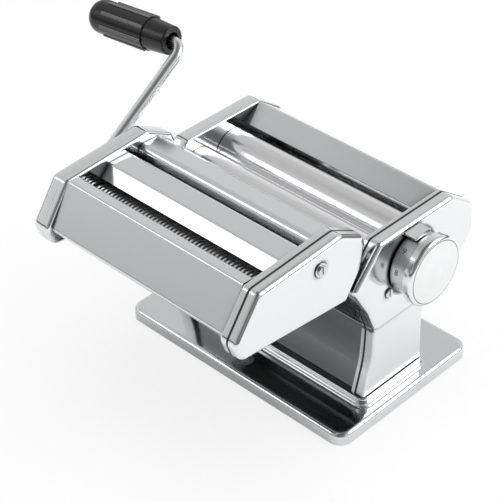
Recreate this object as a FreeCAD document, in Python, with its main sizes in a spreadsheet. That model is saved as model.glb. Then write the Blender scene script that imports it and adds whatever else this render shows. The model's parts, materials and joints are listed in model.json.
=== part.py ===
# Hand-cranked pasta machine: two smooth rollers in a pressed steel body on a flanged base,
# a double cutter head hung on the front, a pull-and-turn thickness knob and a cranked handle.
# Millimetres. +X runs along the rollers towards the knob, -Y is the cutter side, +Z is up.
# The origin is on the underside that the machine stands on, below the middle of the body.
import FreeCAD, Part
import math
import os
import re
import Sketcher
from FreeCAD import Placement, Rotation, Vector

DIMENSIONS = {
    # pressed base, its rubber underlay and the socket for a table clamp
    "base_side_flange": 8.3,
    "base_front": -60.8,
    "base_rear": 63.6,
    "base_corner_radius": 9.5,
    "base_lift": 0.6,
    "base_top": 9.0,
    "base_edge_radius": 3.2,
    "base_wall": 1.2,
    "plinth_front": -31.8,
    "plinth_rear": 28.0,
    "plinth_top": 15.7,
    "plinth_corner_radius": 6.0,
    "plinth_foot_radius": 2.5,
    "plinth_edge_radius": 1.5,
    "underlay_thickness": 2.4,
    "underlay_clearance": 0.3,
    "underlay_post_radius": 4.0,
    "underlay_post_inset": 16.0,
    "clamp_hole_y": -47.0,
    "clamp_bore_radius": 4.25,
    "clamp_socket_radius": 6.0,
    "clamp_flange_radius": 8.5,
    "clamp_flange_thickness": 1.6,
    # side profile of the body, shared by the frames and the covers
    "inner_half_width": 75.5,
    "foot_front_y": -29.3,
    "flare_y": -22.0,
    "flare_z": 40.0,
    "flare_radius": 70.0,
    "waist_y": -20.0,
    "waist_z": 63.0,
    "waist_radius": 18.0,
    "neck_y": -26.7,
    "neck_z": 80.5,
    "neck_radius": 25.0,
    "nose_y": -40.6,
    "nose_z": 104.4,
    "nose_radius": 3.8,
    "rim_angle": 46.8,
    "body_top": 129.0,
    "top_rear_y": 48.6,
    "top_corner_radius": 4.5,
    "back_y": 70.4,
    "back_upper_z": 113.1,
    "back_lower_z": 92.6,
    "back_corner_radius": 6.0,
    "outlet_y": 59.7,
    "outlet_z": 80.4,
    "outlet_radius": 10.0,
    "foot_rear_y": 24.6,
    "foot_rear_top": 57.9,
    "foot_rear_radius": 12.0,
    # side frames and covers
    "frame_thickness": 3.0,
    "frame_seam": 0.6,
    "frame_edge_radius": 1.2,
    "cover_depth": 8.9,
    "cover_wall": 1.0,
    "cover_edge_radius": 3.2,
    "cover_step_z": 66.0,
    "cover_step_depth": 1.6,
    "cover_step_radius": 1.4,
    "tie_rod_radius": 4.0,
    "tie_spigot_radius": 2.5,
    "low_tie_y": 2.0,
    "low_tie_z": 27.0,
    "mid_tie_z": 46.0,
    "back_tie_y": 60.0,
    "back_tie_z": 102.0,
    "post_radius": 3.0,
    "screw_head_radius": 3.0,
    "screw_head_height": 1.3,
    "screw_shank_radius": 1.5,
    "screw_shank_length": 6.0,
    "screw_slot_width": 0.9,
    "right_screw_y": -9.8,
    "right_screw_z": 89.0,
    "left_screw_y": -2.0,
    "left_screw_z": 76.0,
    "press_clearance": 0.03,
    # bent sheet panels
    "sheet_thickness": 0.8,
    "panel_inset": 2.6,
    "chute_start_y": -19.0,
    "chute_start_z": 74.0,
    "hopper_low_y": 33.0,
    "hopper_low_z": 119.6,
    "bend_radius": 2.0,
    # main rollers, gears and bearings
    "roller_radius": 15.5,
    "roller_end_gap": 0.4,
    "roller_y": -9.5,
    "roller_z": 104.0,
    "nip_gap": 0.5,
    "gap_travel": 2.5,
    "drive_journal_radius": 6.0,
    "bush_wall": 2.0,
    "bush_flange_width": 1.5,
    "bush_flange_thickness": 1.5,
    "running_clearance": 0.05,
    "gear_teeth": 12,
    "gear_addendum": 2.3,
    "gear_dedendum": 3.0,
    "gear_backlash": 0.7,
    "gear_standoff": 3.0,
    "gear_width": 4.9,
    "pressure_angle": 20.0,
    "drive_end_recess": 0.4,
    "crank_hole_radius": 7.5,
    "scraper_gap": 0.4,
    "scraper_reach": 9.0,
    "scraper_drop": 6.0,
    "scraper_thickness": 1.4,
    # sliding bearing carriage of the rear roller
    "slide_clearance": 0.3,
    "pressure_journal_radius": 5.0,
    "block_half_width": 7.0,
    "block_half_height": 8.0,
    "yoke_thickness": 2.0,
    "yoke_rear": 28.0,
    "yoke_half_height": 10.5,
    "yoke_bar_offset": 22.0,
    "yoke_bar_drop": 5.0,
    "yoke_bar_radius": 3.0,
    # thickness regulator and its knob
    "knob_y": 10.5,
    "knob_z": 103.0,
    "pivot_radius": 2.5,
    "cam_seat_radius": 4.0,
    "cam_radius": 8.0,
    "cam_sweep": 270.0,
    "cam_standoff": 2.8,
    "cam_thickness": 3.0,
    "cam_clearance": 0.35,
    "follower_depth": 5.0,
    "follower_half_height": 6.0,
    "spindle_radius": 4.8,
    "spindle_flats": 8.0,
    "knob_key_clearance": 0.2,
    "spindle_reach": 14.5,
    "spindle_thread_radius": 2.8,
    "nut_radius": 8.5,
    "nut_thickness": 2.6,
    "knob_back_gap": 0.5,
    "drum_radius": 20.5,
    "drum_wall": 2.6,
    "drum_web": 4.0,
    "drum_length": 13.5,
    "cap_radius": 23.4,
    "cap_overlap": 1.6,
    "cap_recess_height": 3.0,
    "cap_shoulder_height": 5.0,
    "cap_crown_height": 7.8,
    "cap_edge_radius": 3.0,
    "knob_spring_radius": 7.0,
    "knob_spring_wire": 0.8,
    "knob_spring_turns": 3,
    "index_pin_radius": 2.0,
    "index_pin_offset": 14.0,
    "index_pin_length": 4.0,
    "index_pin_gap": 0.3,
    "knob_stops": 9,
    "dimple_radius": 2.2,
    "dimple_depth": 0.8,
    "pointer_gap": 0.8,
    "pointer_half_width": 7.0,
    "pointer_height": 2.2,
    "pointer_reach": 8.5,
    # cutter head, placed from the nose of the body that it hangs on
    "cutter_plate_inset": 2.3,
    "cutter_plate_thickness": 2.0,
    "cutter_rim_radius": 2.2,
    "cutter_cover_depth": 7.9,
    "cutter_edge_radius": 3.4,
    "cutter_front_dy": -76.5,
    "cutter_front_dz": 45.4,
    "cutter_peak_dy": -10.4,
    "cutter_peak_dz": 49.1,
    "cutter_shoulder_dy": 9.3,
    "cutter_shoulder_dz": 38.3,
    "cutter_tail_dy": 11.5,
    "cutter_tail_dz": 32.6,
    "cutter_heel_dy": 7.0,
    "cutter_heel_dz": 14.6,
    "cutter_toe_dy": -5.0,
    "cutter_toe_dz": -2.2,
    "cutter_chin_dy": -91.5,
    "cutter_chin_dz": 6.0,
    "cutter_lip_dy": -95.9,
    "cutter_lip_dz": 18.9,
    "cutter_chin_radius": 6.5,
    "cutter_corner_radius": 4.0,
    "cutter_peak_radius": 8.0,
    "cutter_axis_dz": 22.1,
    "fine_front_dy": -72.9,
    "wide_front_dy": -31.9,
    "cutter_centres": 18.5,
    "ring_radius": 10.0,
    "ring_root_radius": 7.6,
    "ring_end_gap": 0.4,
    "ring_clearance": 0.3,
    "fine_pitch": 3.0,
    "wide_pitch": 12.4,
    "cutter_journal_radius": 5.5,
    "cutter_gear_seat": 4.0,
    "cutter_gear_standoff": 3.7,
    "cutter_gear_width": 4.3,
    "cutter_gear_teeth": 14,
    "cutter_gear_addendum": 1.2,
    "cutter_gear_dedendum": 1.6,
    "cutter_gear_backlash": 0.4,
    "cutter_journal_recess": 0.5,
    "cutter_bush_wall": 1.8,
    "comb_drop": 1.0,
    "comb_thickness": 2.0,
    "comb_inner": 3.0,
    "comb_outer": 8.0,
    "comb_clearance": 0.35,
    "cutter_tie_radius": 2.5,
    "cutter_spigot_radius": 1.6,
    "front_tie_dy": -77.4,
    "front_tie_dz": 35.6,
    "centre_tie_dy": -43.1,
    "centre_tie_dz": 10.1,
    "rear_tie_dy": 0.1,
    "rear_tie_dz": 24.6,
    "cutter_screw_dy": -27.9,
    "cutter_screw_dz": 35.1,
    "cutter_post_radius": 2.5,
    "washer_radius": 4.6,
    "washer_thickness": 0.8,
    # bent sheets of the cutter head, corner by corner from the nose: front guide, divider and rear apron
    "guide_edge_dy": -64.0,
    "guide_edge_dz": 33.9,
    "guide_crest_dy": -67.4,
    "guide_crest_dz": 44.8,
    "guide_brow_dy": -75.2,
    "guide_brow_dz": 45.3,
    "guide_foot_dy": -92.0,
    "guide_foot_dz": 18.6,
    "guide_hem_dy": -89.9,
    "guide_hem_dz": 15.1,
    "divider_edge_dy": -50.4,
    "divider_edge_dz": 34.8,
    "divider_front_dy": -43.4,
    "divider_front_dz": 41.9,
    "divider_rear_dy": -26.8,
    "divider_rear_dz": 41.8,
    "divider_hem_dy": -26.6,
    "divider_hem_dz": 33.6,
    "apron_edge_dy": -20.4,
    "apron_edge_dz": 34.1,
    "apron_crest_dy": -17.9,
    "apron_crest_dz": 42.9,
    "apron_brow_dy": -3.4,
    "apron_brow_dz": 41.9,
    "apron_shoulder_dy": 7.1,
    "apron_shoulder_dz": 32.6,
    "apron_heel_dy": 3.1,
    "apron_heel_dz": 15.1,
    "apron_hem_dy": -6.4,
    "apron_hem_dz": 4.4,
    # tongues of the side frames that the cutter head slides down over
    "tongue_start": 1.0,
    "tongue_end": 26.0,
    "tongue_reach": 14.3,
    "stud_offset": 8.5,
    "stud_low": 8.0,
    "stud_high": 15.0,
    "stud_radius": 2.5,
    "stud_length": 3.1,
    "tongue_notch": 16.0,
    # crank and grip
    "socket_flats": 6.9,
    "socket_depth": 16.0,
    "crank_flats": 6.5,
    "crank_radius": 3.75,
    "crank_arm_standoff": 13.1,
    "crank_angle": 33.7,
    "crank_reach": 95.2,
    "crank_hub_bend": 8.0,
    "crank_elbow_bend": 9.0,
    "grip_droop": 5.0,
    "grip_start": 10.2,
    "grip_length": 69.5,
    "grip_radius": 11.5,
    "grip_neck_radius": 9.6,
    "grip_neck_length": 18.0,
    "grip_shoulder_radius": 10.8,
    "grip_mouth_rounding": 1.2,
    "grip_recess_radius": 5.8,
    "grip_recess_depth": 5.0,
    "grip_end_radius": 9.5,
    "grip_end_wall": 6.0,
    "grip_ribs": 8,
    "grip_rib_width": 2.2,
    "grip_rib_height": 0.9,
    "grip_rib_end": 54.2,
    "grip_washer_radius": 5.2,
    "grip_washer_thickness": 1.0,
}

DOC = FreeCAD.newDocument("pasta_machine")
SHEET = DOC.addObject("Spreadsheet::Sheet", "Dims")
for row, (name, number) in enumerate(DIMENSIONS.items(), 1):
    SHEET.set(f"A{row}", name)
    SHEET.set(f"B{row}", str(number))
    SHEET.setAlias(f"B{row}", name)
DOC.recompute()

PARTS = []


def bound(text):
    """An expression on the sheet's names, written with the names alone."""
    return re.sub(r"\b[a-z]+_[a-z_0-9]+\b", r"Dims.\g<0>", text)


def size(text):
    """The present value of such an expression."""
    return float(SHEET.evalExpression(bound(text)))


def keep(label, thing):
    """Name a finished sub-part."""
    thing.Label = label
    PARTS.append(thing)
    return thing


# Sketches whose every corner is tied to the sheet

def sketch_on(body, role, offset=("0", "0", "0"), turn=None):
    """A sketch on one of the body's origin planes, moved and turned by (axis, angle) in that frame."""
    sketch = body.newObject("Sketcher::SketchObject", body.Name + "_sketch")
    plane = next(item for item in body.Origin.OriginFeatures if item.Role == role)
    sketch.AttachmentSupport = [(plane, "")]
    sketch.MapMode = "FlatFace"
    if turn:
        axis, angle = turn
        sketch.AttachmentOffset = Placement(Vector(), Rotation(axis, size(angle)))
        sketch.setExpression("AttachmentOffset.Rotation.Angle", bound(angle))
    for letter, text in zip("xyz", offset):
        sketch.setExpression(f"AttachmentOffset.Base.{letter}", bound(text))
    DOC.recompute()
    return sketch


def rounded(before, corner, after, radius):
    """The tangent points and the arc of a rounded corner, and whether the arc runs backwards."""
    arrive = (before - corner).normalize()
    leave = (after - corner).normalize()
    half = arrive.getAngle(leave) / 2
    start = corner + arrive * (radius / math.tan(half))
    end = corner + leave * (radius / math.tan(half))
    centre = corner + (arrive + leave).normalize() * (radius / math.sin(half))
    backwards = arrive.cross(leave).z > 0
    first, last = (end, start) if backwards else (start, end)
    angles = [math.atan2(point.y - centre.y, point.x - centre.x) for point in (first, last)]
    if angles[1] < angles[0]:
        angles[1] += 2 * math.pi
    arc = Part.ArcOfCircle(Part.Circle(centre, Vector(0, 0, 1), radius), *angles)
    return start, end, arc, backwards


def draw(sketch, corners, closed=True):
    """Lines through corners (across, up, radius), each corner held by the sheet and rounded by its radius."""
    points = [Vector(size(across), size(up), 0) for across, up, _ in corners]
    count = len(points)
    starts, ends, arcs = list(points), list(points), {}
    for index, (_, _, radius) in enumerate(corners):
        if radius:
            before, after = points[index - 1], points[(index + 1) % count]
            starts[index], ends[index], *arcs[index] = rounded(before, points[index], after, size(radius))
    spans = count if closed else count - 1
    for index in range(spans):
        sketch.addGeometry(Part.LineSegment(ends[index], starts[(index + 1) % count]), False)
    rules, texts = [], {}

    def hold(geometry, vertex, across, up):
        for kind, text in (("DistanceX", across), ("DistanceY", up)):
            texts[len(rules)] = text
            rules.append(Sketcher.Constraint(kind, -1, 1, geometry, vertex, size(text)))

    for index, (across, up, radius) in enumerate(corners):
        incoming = (index - 1) % count if closed or index else None
        outgoing = index if index < spans else None
        if radius:
            arc, backwards = arcs[index]
            curve = sketch.addGeometry(arc, False)
            mark = sketch.addGeometry(Part.Point(points[index]), True)
            near, far = (2, 1) if backwards else (1, 2)
            rules.append(Sketcher.Constraint("Tangent", incoming, 2, curve, near))
            rules.append(Sketcher.Constraint("Tangent", curve, far, outgoing, 1))
            rules.append(Sketcher.Constraint("PointOnObject", mark, 1, incoming))
            rules.append(Sketcher.Constraint("PointOnObject", mark, 1, outgoing))
            texts[len(rules)] = radius
            rules.append(Sketcher.Constraint("Radius", curve, size(radius)))
            hold(mark, 1, across, up)
        elif outgoing is None:
            hold(incoming, 2, across, up)
        else:
            if incoming is not None:
                rules.append(Sketcher.Constraint("Coincident", incoming, 2, outgoing, 1))
            hold(outgoing, 1, across, up)
    sketch.addConstraint(rules)
    for index, text in texts.items():
        sketch.setExpression(f"Constraints[{index}]", bound(text))
    return sketch


def circle(sketch, across, up, radius):
    """A circle held by the sheet."""
    centre = Vector(size(across), size(up), 0)
    curve = sketch.addGeometry(Part.Circle(centre, Vector(0, 0, 1), size(radius)), False)
    rules = (("DistanceX", (-1, 1, curve, 3), across), ("DistanceY", (-1, 1, curve, 3), up),
             ("Radius", (curve,), radius))
    for kind, places, text in rules:
        index = sketch.addConstraint(Sketcher.Constraint(kind, *places, size(text)))
        sketch.setExpression(f"Constraints[{index}]", bound(text))
    return sketch


def box_corners(low, high, radius=None):
    """The corners of an upright rectangle between two corners."""
    return [(low[0], low[1], radius), (high[0], low[1], radius),
            (high[0], high[1], radius), (low[0], high[1], radius)]


def hexagon(flats):
    """The corners of a hexagon of that width across its flats, about the sketch's origin."""
    reach = f"({flats}) / sqrt(3)"
    half = f"({flats}) / 2"
    return [(reach, "0", None), (f"{reach} / 2", half, None), (f"-{reach} / 2", half, None),
            (f"-{reach}", "0", None), (f"-{reach} / 2", f"-{half}", None), (f"{reach} / 2", f"-{half}", None)]


# Features of a body

def new_body(name):
    return DOC.addObject("PartDesign::Body", name)


def pad(body, sketch, length):
    """Raise a sketch along its normal."""
    feature = body.newObject("PartDesign::Pad", body.Name + "_pad")
    feature.Profile = sketch
    feature.setExpression("Length", bound(length))
    DOC.recompute()
    return feature


def cut(body, sketch, length=None, forwards=True):
    """Cut a sketch right through, or for a length along or against its normal; it must meet the body."""
    before = body.Shape.Volume
    feature = body.newObject("PartDesign::Pocket", body.Name + "_cut")
    feature.Profile = sketch
    if length:
        feature.Reversed = forwards
        feature.setExpression("Length", bound(length))
    else:
        feature.SideType = "Symmetric"
        feature.Type = "ThroughAll"
    DOC.recompute()
    if not body.Shape.Volume < before:
        raise RuntimeError(body.Label + ": a cut missed")
    return feature


def fillet(body, radius, chosen):
    """Round the edges that a test on the edge chooses."""
    base = body.Tip
    names = [f"Edge{number}" for number, edge in enumerate(base.Shape.Edges, 1) if chosen(edge)]
    feature = body.newObject("PartDesign::Fillet", body.Name + "_round")
    feature.Base = (base, names)
    feature.setExpression("Radius", bound(radius))
    DOC.recompute()
    return feature


def hollow(body, wall, open_face):
    """Leave a wall inside the faces, open at the face that a test chooses."""
    base = body.Tip
    names = [f"Face{number}" for number, face in enumerate(base.Shape.Faces, 1) if open_face(face)]
    feature = body.newObject("PartDesign::Thickness", body.Name + "_wall")
    feature.Base = (base, names)
    feature.Reversed = True
    feature.setExpression("Value", bound(wall))
    DOC.recompute()
    return feature


def lies_at(thing, axis, place):
    """Whether an edge or a face lies in the plane across an axis at a place."""
    box = thing.BoundBox
    low, high = {"x": (box.XMin, box.XMax), "y": (box.YMin, box.YMax), "z": (box.ZMin, box.ZMax)}[axis]
    return abs(low - place) < 1e-4 and abs(high - place) < 1e-4


def extruded(name, corners, x_from, x_to):
    """A plate across X with an outline of (y, z, radius) corners."""
    body = new_body(name)
    sketch = draw(sketch_on(body, "YZ_Plane", ("0", "0", x_from)), corners)
    pad(body, sketch, f"({x_to}) - ({x_from})")
    return body


def plate_holes(body, x_place, holes):
    """Round holes (y, z, radius) right through a plate that crosses X."""
    for across, up, radius in holes:
        cut(body, circle(sketch_on(body, "YZ_Plane", ("0", "0", x_place)), across, up, radius))


def revolved(body, sketch, axis="H_Axis"):
    feature = body.newObject("PartDesign::Revolution", body.Name + "_turn")
    feature.Profile = sketch
    feature.ReferenceAxis = (sketch, [axis])
    feature.Angle = 360
    DOC.recompute()
    return feature


def turned(name, profile, across, up):
    """A turned piece about an X axis at (y, z), with a profile of (x, radius, corner radius)."""
    body = new_body(name)
    sketch = draw(sketch_on(body, "XZ_Plane", ("0", up, f"-({across})")), profile)
    revolved(body, sketch)
    return body


def bar_profile(steps):
    """The profile of a solid bar of (x from, x to, radius) steps along X."""
    corners = [(steps[0][0], "0", None)]
    for x_from, x_to, radius in steps:
        corners += [(x_from, radius, None), (x_to, radius, None)]
    return corners + [(steps[-1][1], "0", None)]


def pattern(body, kind, original, direction, length, count):
    """Repeat a feature along or about a sketch's axis."""
    feature = body.newObject(f"PartDesign::{kind}", body.Name + "_pattern")
    feature.Originals = [original]
    if kind == "LinearPattern":
        feature.Direction = direction
        feature.setExpression("Length", bound(length))
    else:
        feature.Axis = direction
        feature.Angle = 360
    feature.setExpression("Occurrences", bound(count))
    body.Tip = feature
    DOC.recompute()
    return feature


def bent_sheet(label, path, thickness, half_width):
    """A folded sheet: an open path of (y, z, bend radius) drawn along X and thickened to its left."""
    sketch = DOC.addObject("Sketcher::SketchObject", label + "_path")
    sketch.Placement = Placement(Vector(), Rotation(Vector(0, 1, 0), Vector(0, 0, 1), Vector(1, 0, 0), "XYZ"))
    sketch.setExpression("Placement.Base.x", bound(f"-({half_width})"))
    draw(sketch, path, closed=False)
    skin = DOC.addObject("Part::Extrusion", label + "_skin")
    skin.Base = sketch
    skin.DirMode = "Normal"
    skin.setExpression("LengthFwd", bound(f"2 * ({half_width})"))
    sheet = DOC.addObject("Part::Offset", label + "_sheet")
    sheet.Source = skin
    sheet.Fill = True
    sheet.setExpression("Value", bound(thickness))
    DOC.recompute()
    return keep(label, sheet)


def mirrored(name, source):
    """The same piece on the other side of the machine."""
    twin = DOC.addObject("Part::Mirroring", name)
    twin.Source = source
    twin.Normal = Vector(1, 0, 0)
    DOC.recompute()
    return twin


def group(label, pieces):
    """Like pieces that share a node as separate solids."""
    compound = DOC.addObject("Part::Compound", label + "_group")
    compound.Links = pieces
    DOC.recompute()
    return keep(label, compound)


def pair(label, piece):
    """A piece and its twin on the other side, as one group."""
    return group(label, [piece, mirrored(label + "_twin", piece)])


# Places that several pieces share

FRAME_OUTER = "(inner_half_width + frame_thickness)"
COVER_INNER = f"({FRAME_OUTER} + frame_seam)"
COVER_FACE = f"({COVER_INNER} + cover_depth)"
BASE_HALF = f"({COVER_FACE} + base_side_flange)"
GEAR_INNER = f"({FRAME_OUTER} + gear_standoff)"
GEAR_OUTER = f"({GEAR_INNER} + gear_width)"
DRIVE_END = f"({COVER_FACE} - drive_end_recess)"
CAM_INNER = f"({FRAME_OUTER} + cam_standoff)"
KNOB_BACK = f"({COVER_FACE} + knob_back_gap)"
SPINDLE_END = f"({KNOB_BACK} + spindle_reach)"
DRUM_FRONT = f"({KNOB_BACK} + drum_length)"
CAP_SKIRT = f"({DRUM_FRONT} - cap_overlap)"
CAP_RECESS = f"({DRUM_FRONT} + cap_recess_height)"
CAP_SHOULDER = f"({DRUM_FRONT} + cap_shoulder_height)"
CAP_CROWN = f"({DRUM_FRONT} + cap_crown_height)"
DECK_UNDER = "(base_top - base_wall)"
PRESSURE_Y = "(roller_y + 2 * roller_radius + nip_gap)"
BAR_Y = f"({PRESSURE_Y} + yoke_bar_offset)"
BAR_Z = "(roller_z - yoke_bar_drop)"
YOKE_INNER = f"({FRAME_OUTER} + slide_clearance)"
YOKE_OUTER = f"({YOKE_INNER} + yoke_thickness)"
BUSH_RADIUS = "(drive_journal_radius + running_clearance + bush_wall)"
CUTTER_INNER = "(inner_half_width - cutter_plate_inset)"
CUTTER_PLATE_OUTER = f"({CUTTER_INNER} + cutter_plate_thickness)"
CUTTER_FACE = f"({COVER_INNER} + cutter_cover_depth)"
CUTTER_GEAR_INNER = f"({CUTTER_PLATE_OUTER} + cutter_gear_standoff)"
CUTTER_GEAR_OUTER = f"({CUTTER_GEAR_INNER} + cutter_gear_width)"
JOURNAL_END = f"({CUTTER_FACE} - cutter_journal_recess)"
ARM_X = f"({CUTTER_FACE} + crank_arm_standoff)"
CUTTER_BUSH_RADIUS = "(cutter_journal_radius + running_clearance + cutter_bush_wall)"
CUTTER_AXIS_Z = "(nose_z + cutter_axis_dz)"
CUTTER_SCREW = ("nose_y + cutter_screw_dy", "nose_z + cutter_screw_dz")
FINE_FRONT_Y = "(nose_y + fine_front_dy)"
FINE_REAR_Y = f"({FINE_FRONT_Y} + cutter_centres)"
WIDE_FRONT_Y = "(nose_y + wide_front_dy)"
WIDE_REAR_Y = f"({WIDE_FRONT_Y} + cutter_centres)"
CUTTER_AXES = [FINE_FRONT_Y, FINE_REAR_Y, WIDE_FRONT_Y, WIDE_REAR_Y]
HEAD_Y = "(nose_y + (body_top - nose_z) / tan(rim_angle))"


def body_outline(foot):
    """The side view of the body, standing on a height."""
    return [
        ("foot_front_y", foot, None),
        ("flare_y", "flare_z", "flare_radius"),
        ("waist_y", "waist_z", "waist_radius"),
        ("neck_y", "neck_z", "neck_radius"),
        ("nose_y", "nose_z", "nose_radius"),
        (HEAD_Y, "body_top", "nose_radius"),
        ("top_rear_y", "body_top", "top_corner_radius"),
        ("back_y", "back_upper_z", "back_corner_radius"),
        ("back_y", "back_lower_z", "back_corner_radius"),
        ("outlet_y", "outlet_z", "outlet_radius"),
        ("foot_rear_y", "foot_rear_top", "foot_rear_radius"),
        ("foot_rear_y", foot, None),
    ]


def from_nose(name, radius=None):
    """A corner of the cutter head, placed from the nose of the body."""
    return (f"nose_y + {name}_dy", f"nose_z + {name}_dz", radius)


CUTTER_OUTLINE = [
    from_nose("cutter_front", "cutter_corner_radius"),
    from_nose("cutter_peak", "cutter_peak_radius"),
    from_nose("cutter_shoulder", "cutter_corner_radius"),
    from_nose("cutter_tail", "cutter_corner_radius"),
    from_nose("cutter_heel", "cutter_peak_radius"),
    from_nose("cutter_toe", "cutter_corner_radius"),
    from_nose("cutter_chin", "cutter_chin_radius"),
    from_nose("cutter_lip", "cutter_chin_radius"),
]


# Base: a pressed tray with a raised plinth, a rubber underlay that it stands on, and the clamp socket

base = new_body("base_plate")
tray = draw(sketch_on(base, "XY_Plane", ("0", "0", "base_lift")),
            box_corners((f"-{BASE_HALF}", "base_front"), (BASE_HALF, "base_rear"),
                        "base_corner_radius"))
pad(base, tray, "base_top - base_lift")
plinth = draw(sketch_on(base, "XY_Plane", ("0", "0", "base_lift")),
              box_corners((f"-{COVER_FACE}", "plinth_front"), (COVER_FACE, "plinth_rear"),
                          "plinth_corner_radius"))
pad(base, plinth, "plinth_top - base_lift")


def beyond_plinth(edge):
    box = edge.BoundBox
    return box.YMin < size("plinth_front") - 1 or box.YMax > size("plinth_rear") + 1


def on_deck(edge):
    return lies_at(edge, "z", size("base_top"))


fillet(base, "base_edge_radius", lambda edge: on_deck(edge) and beyond_plinth(edge))
fillet(base, "plinth_foot_radius", lambda edge: on_deck(edge) and not beyond_plinth(edge))
fillet(base, "plinth_edge_radius", lambda edge: lies_at(edge, "z", size("plinth_top")))
hollow(base, "base_wall", lambda face: lies_at(face, "z", size("base_lift")))
cut(base, circle(sketch_on(base, "XY_Plane", ("0", "0", "base_top")),
                 "0", "clamp_hole_y", "clamp_socket_radius + press_clearance"))
keep("base_plate", base)

underlay = new_body("base_underlay")
UNDERLAY_INSET = "(base_wall + underlay_clearance)"
mat = draw(sketch_on(underlay, "XY_Plane"),
           box_corners((f"-{BASE_HALF} + {UNDERLAY_INSET}", f"base_front + {UNDERLAY_INSET}"),
                       (f"{BASE_HALF} - {UNDERLAY_INSET}", f"base_rear - {UNDERLAY_INSET}"),
                       f"base_corner_radius - {UNDERLAY_INSET}"))
pad(underlay, mat, "underlay_thickness")
for side in (f"{BASE_HALF} - underlay_post_inset", f"-{BASE_HALF} + underlay_post_inset"):
    for end in ("base_rear - underlay_post_inset", "base_front + underlay_post_inset"):
        pad(underlay, circle(sketch_on(underlay, "XY_Plane"), side, end, "underlay_post_radius"), DECK_UNDER)
cut(underlay, circle(sketch_on(underlay, "XY_Plane"), "0", "clamp_hole_y",
                     "(clamp_bore_radius + clamp_socket_radius) / 2"))
keep("base_underlay", underlay)

socket = new_body("clamp_socket")
socket_profile = draw(sketch_on(socket, "XZ_Plane", ("0", "0", "-clamp_hole_y")), [
    ("clamp_bore_radius", "underlay_thickness", None),
    ("clamp_socket_radius", "underlay_thickness", None),
    ("clamp_socket_radius", f"{DECK_UNDER} - clamp_flange_thickness", None),
    ("clamp_flange_radius", f"{DECK_UNDER} - clamp_flange_thickness", None),
    ("clamp_flange_radius", DECK_UNDER, None),
    ("clamp_socket_radius", DECK_UNDER, None),
    ("clamp_socket_radius", "base_top", None),
    ("clamp_bore_radius", "base_top", None),
])
revolved(socket, socket_profile, "V_Axis")
keep("clamp_socket", socket)


# Side frames: flat steel plates with the bearing holes, the carriage window and the slotted cutter tongue

TONGUE_TURN = (Vector(0, 0, 1), "rim_angle")
TONGUE_PLACE = ("nose_y", "nose_z", "inner_half_width")
frame = extruded("side_frame_right", body_outline("plinth_top"), "inner_half_width", FRAME_OUTER)
fillet(frame, "frame_edge_radius", lambda edge: lies_at(edge, "x", size("inner_half_width")))
tongue = draw(sketch_on(frame, "YZ_Plane", TONGUE_PLACE, TONGUE_TURN),
              box_corners(("tongue_start", "-tongue_reach / 2"), ("tongue_end", "tongue_reach")))
pad(frame, tongue, "frame_thickness")
SLOT_HALF = "(stud_radius + slide_clearance)"
slot = draw(sketch_on(frame, "YZ_Plane", TONGUE_PLACE, TONGUE_TURN),
            [("stud_low", f"stud_offset - {SLOT_HALF}", None),
             ("2 * tongue_end", f"stud_offset - {SLOT_HALF}", None),
             ("2 * tongue_end", f"stud_offset + {SLOT_HALF}", None),
             ("stud_low", f"stud_offset + {SLOT_HALF}", None)])
cut(frame, slot)
slot_end = sketch_on(frame, "YZ_Plane", TONGUE_PLACE, TONGUE_TURN)
cut(frame, circle(slot_end, "stud_low", "stud_offset", SLOT_HALF))
window = draw(sketch_on(frame, "YZ_Plane", ("0", "0", "inner_half_width")), box_corners(
    (f"{PRESSURE_Y} - block_half_width - slide_clearance", "roller_z - block_half_height - slide_clearance"),
    (f"{PRESSURE_Y} + block_half_width + gap_travel + slide_clearance",
     "roller_z + block_half_height + slide_clearance")))
cut(frame, window)
bar_slot = draw(sketch_on(frame, "YZ_Plane", ("0", "0", "inner_half_width")), box_corners(
    (f"{BAR_Y} - yoke_bar_radius - slide_clearance", f"{BAR_Z} - yoke_bar_radius - slide_clearance"),
    (f"{BAR_Y} + yoke_bar_radius + gap_travel + slide_clearance",
     f"{BAR_Z} + yoke_bar_radius + slide_clearance")))
cut(frame, bar_slot)
TIE_PLACES = [("low_tie_y", "low_tie_z"), ("low_tie_y", "mid_tie_z"), ("back_tie_y", "back_tie_z")]
plate_holes(frame, "inner_half_width",
            [("roller_y", "roller_z", f"{BUSH_RADIUS} + press_clearance"),
             ("knob_y", "knob_z", "pivot_radius + running_clearance")]
            + [(across, up, "tie_spigot_radius + press_clearance") for across, up in TIE_PLACES])
keep("side_frame_right", frame)
keep("side_frame_left", mirrored("side_frame_left", frame))

tie_rods = []
for number, (across, up) in enumerate(TIE_PLACES):
    tie_rods.append(turned(f"frame_tie_rod_{number}", bar_profile([
        (f"-{FRAME_OUTER}", "-inner_half_width", "tie_spigot_radius"),
        ("-inner_half_width", "inner_half_width", "tie_rod_radius"),
        ("inner_half_width", FRAME_OUTER, "tie_spigot_radius")]), across, up))
group("frame_tie_rods", tie_rods)


# Side covers: deep-drawn shells with a soft outer edge and a step where the head stands proud of the foot

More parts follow.
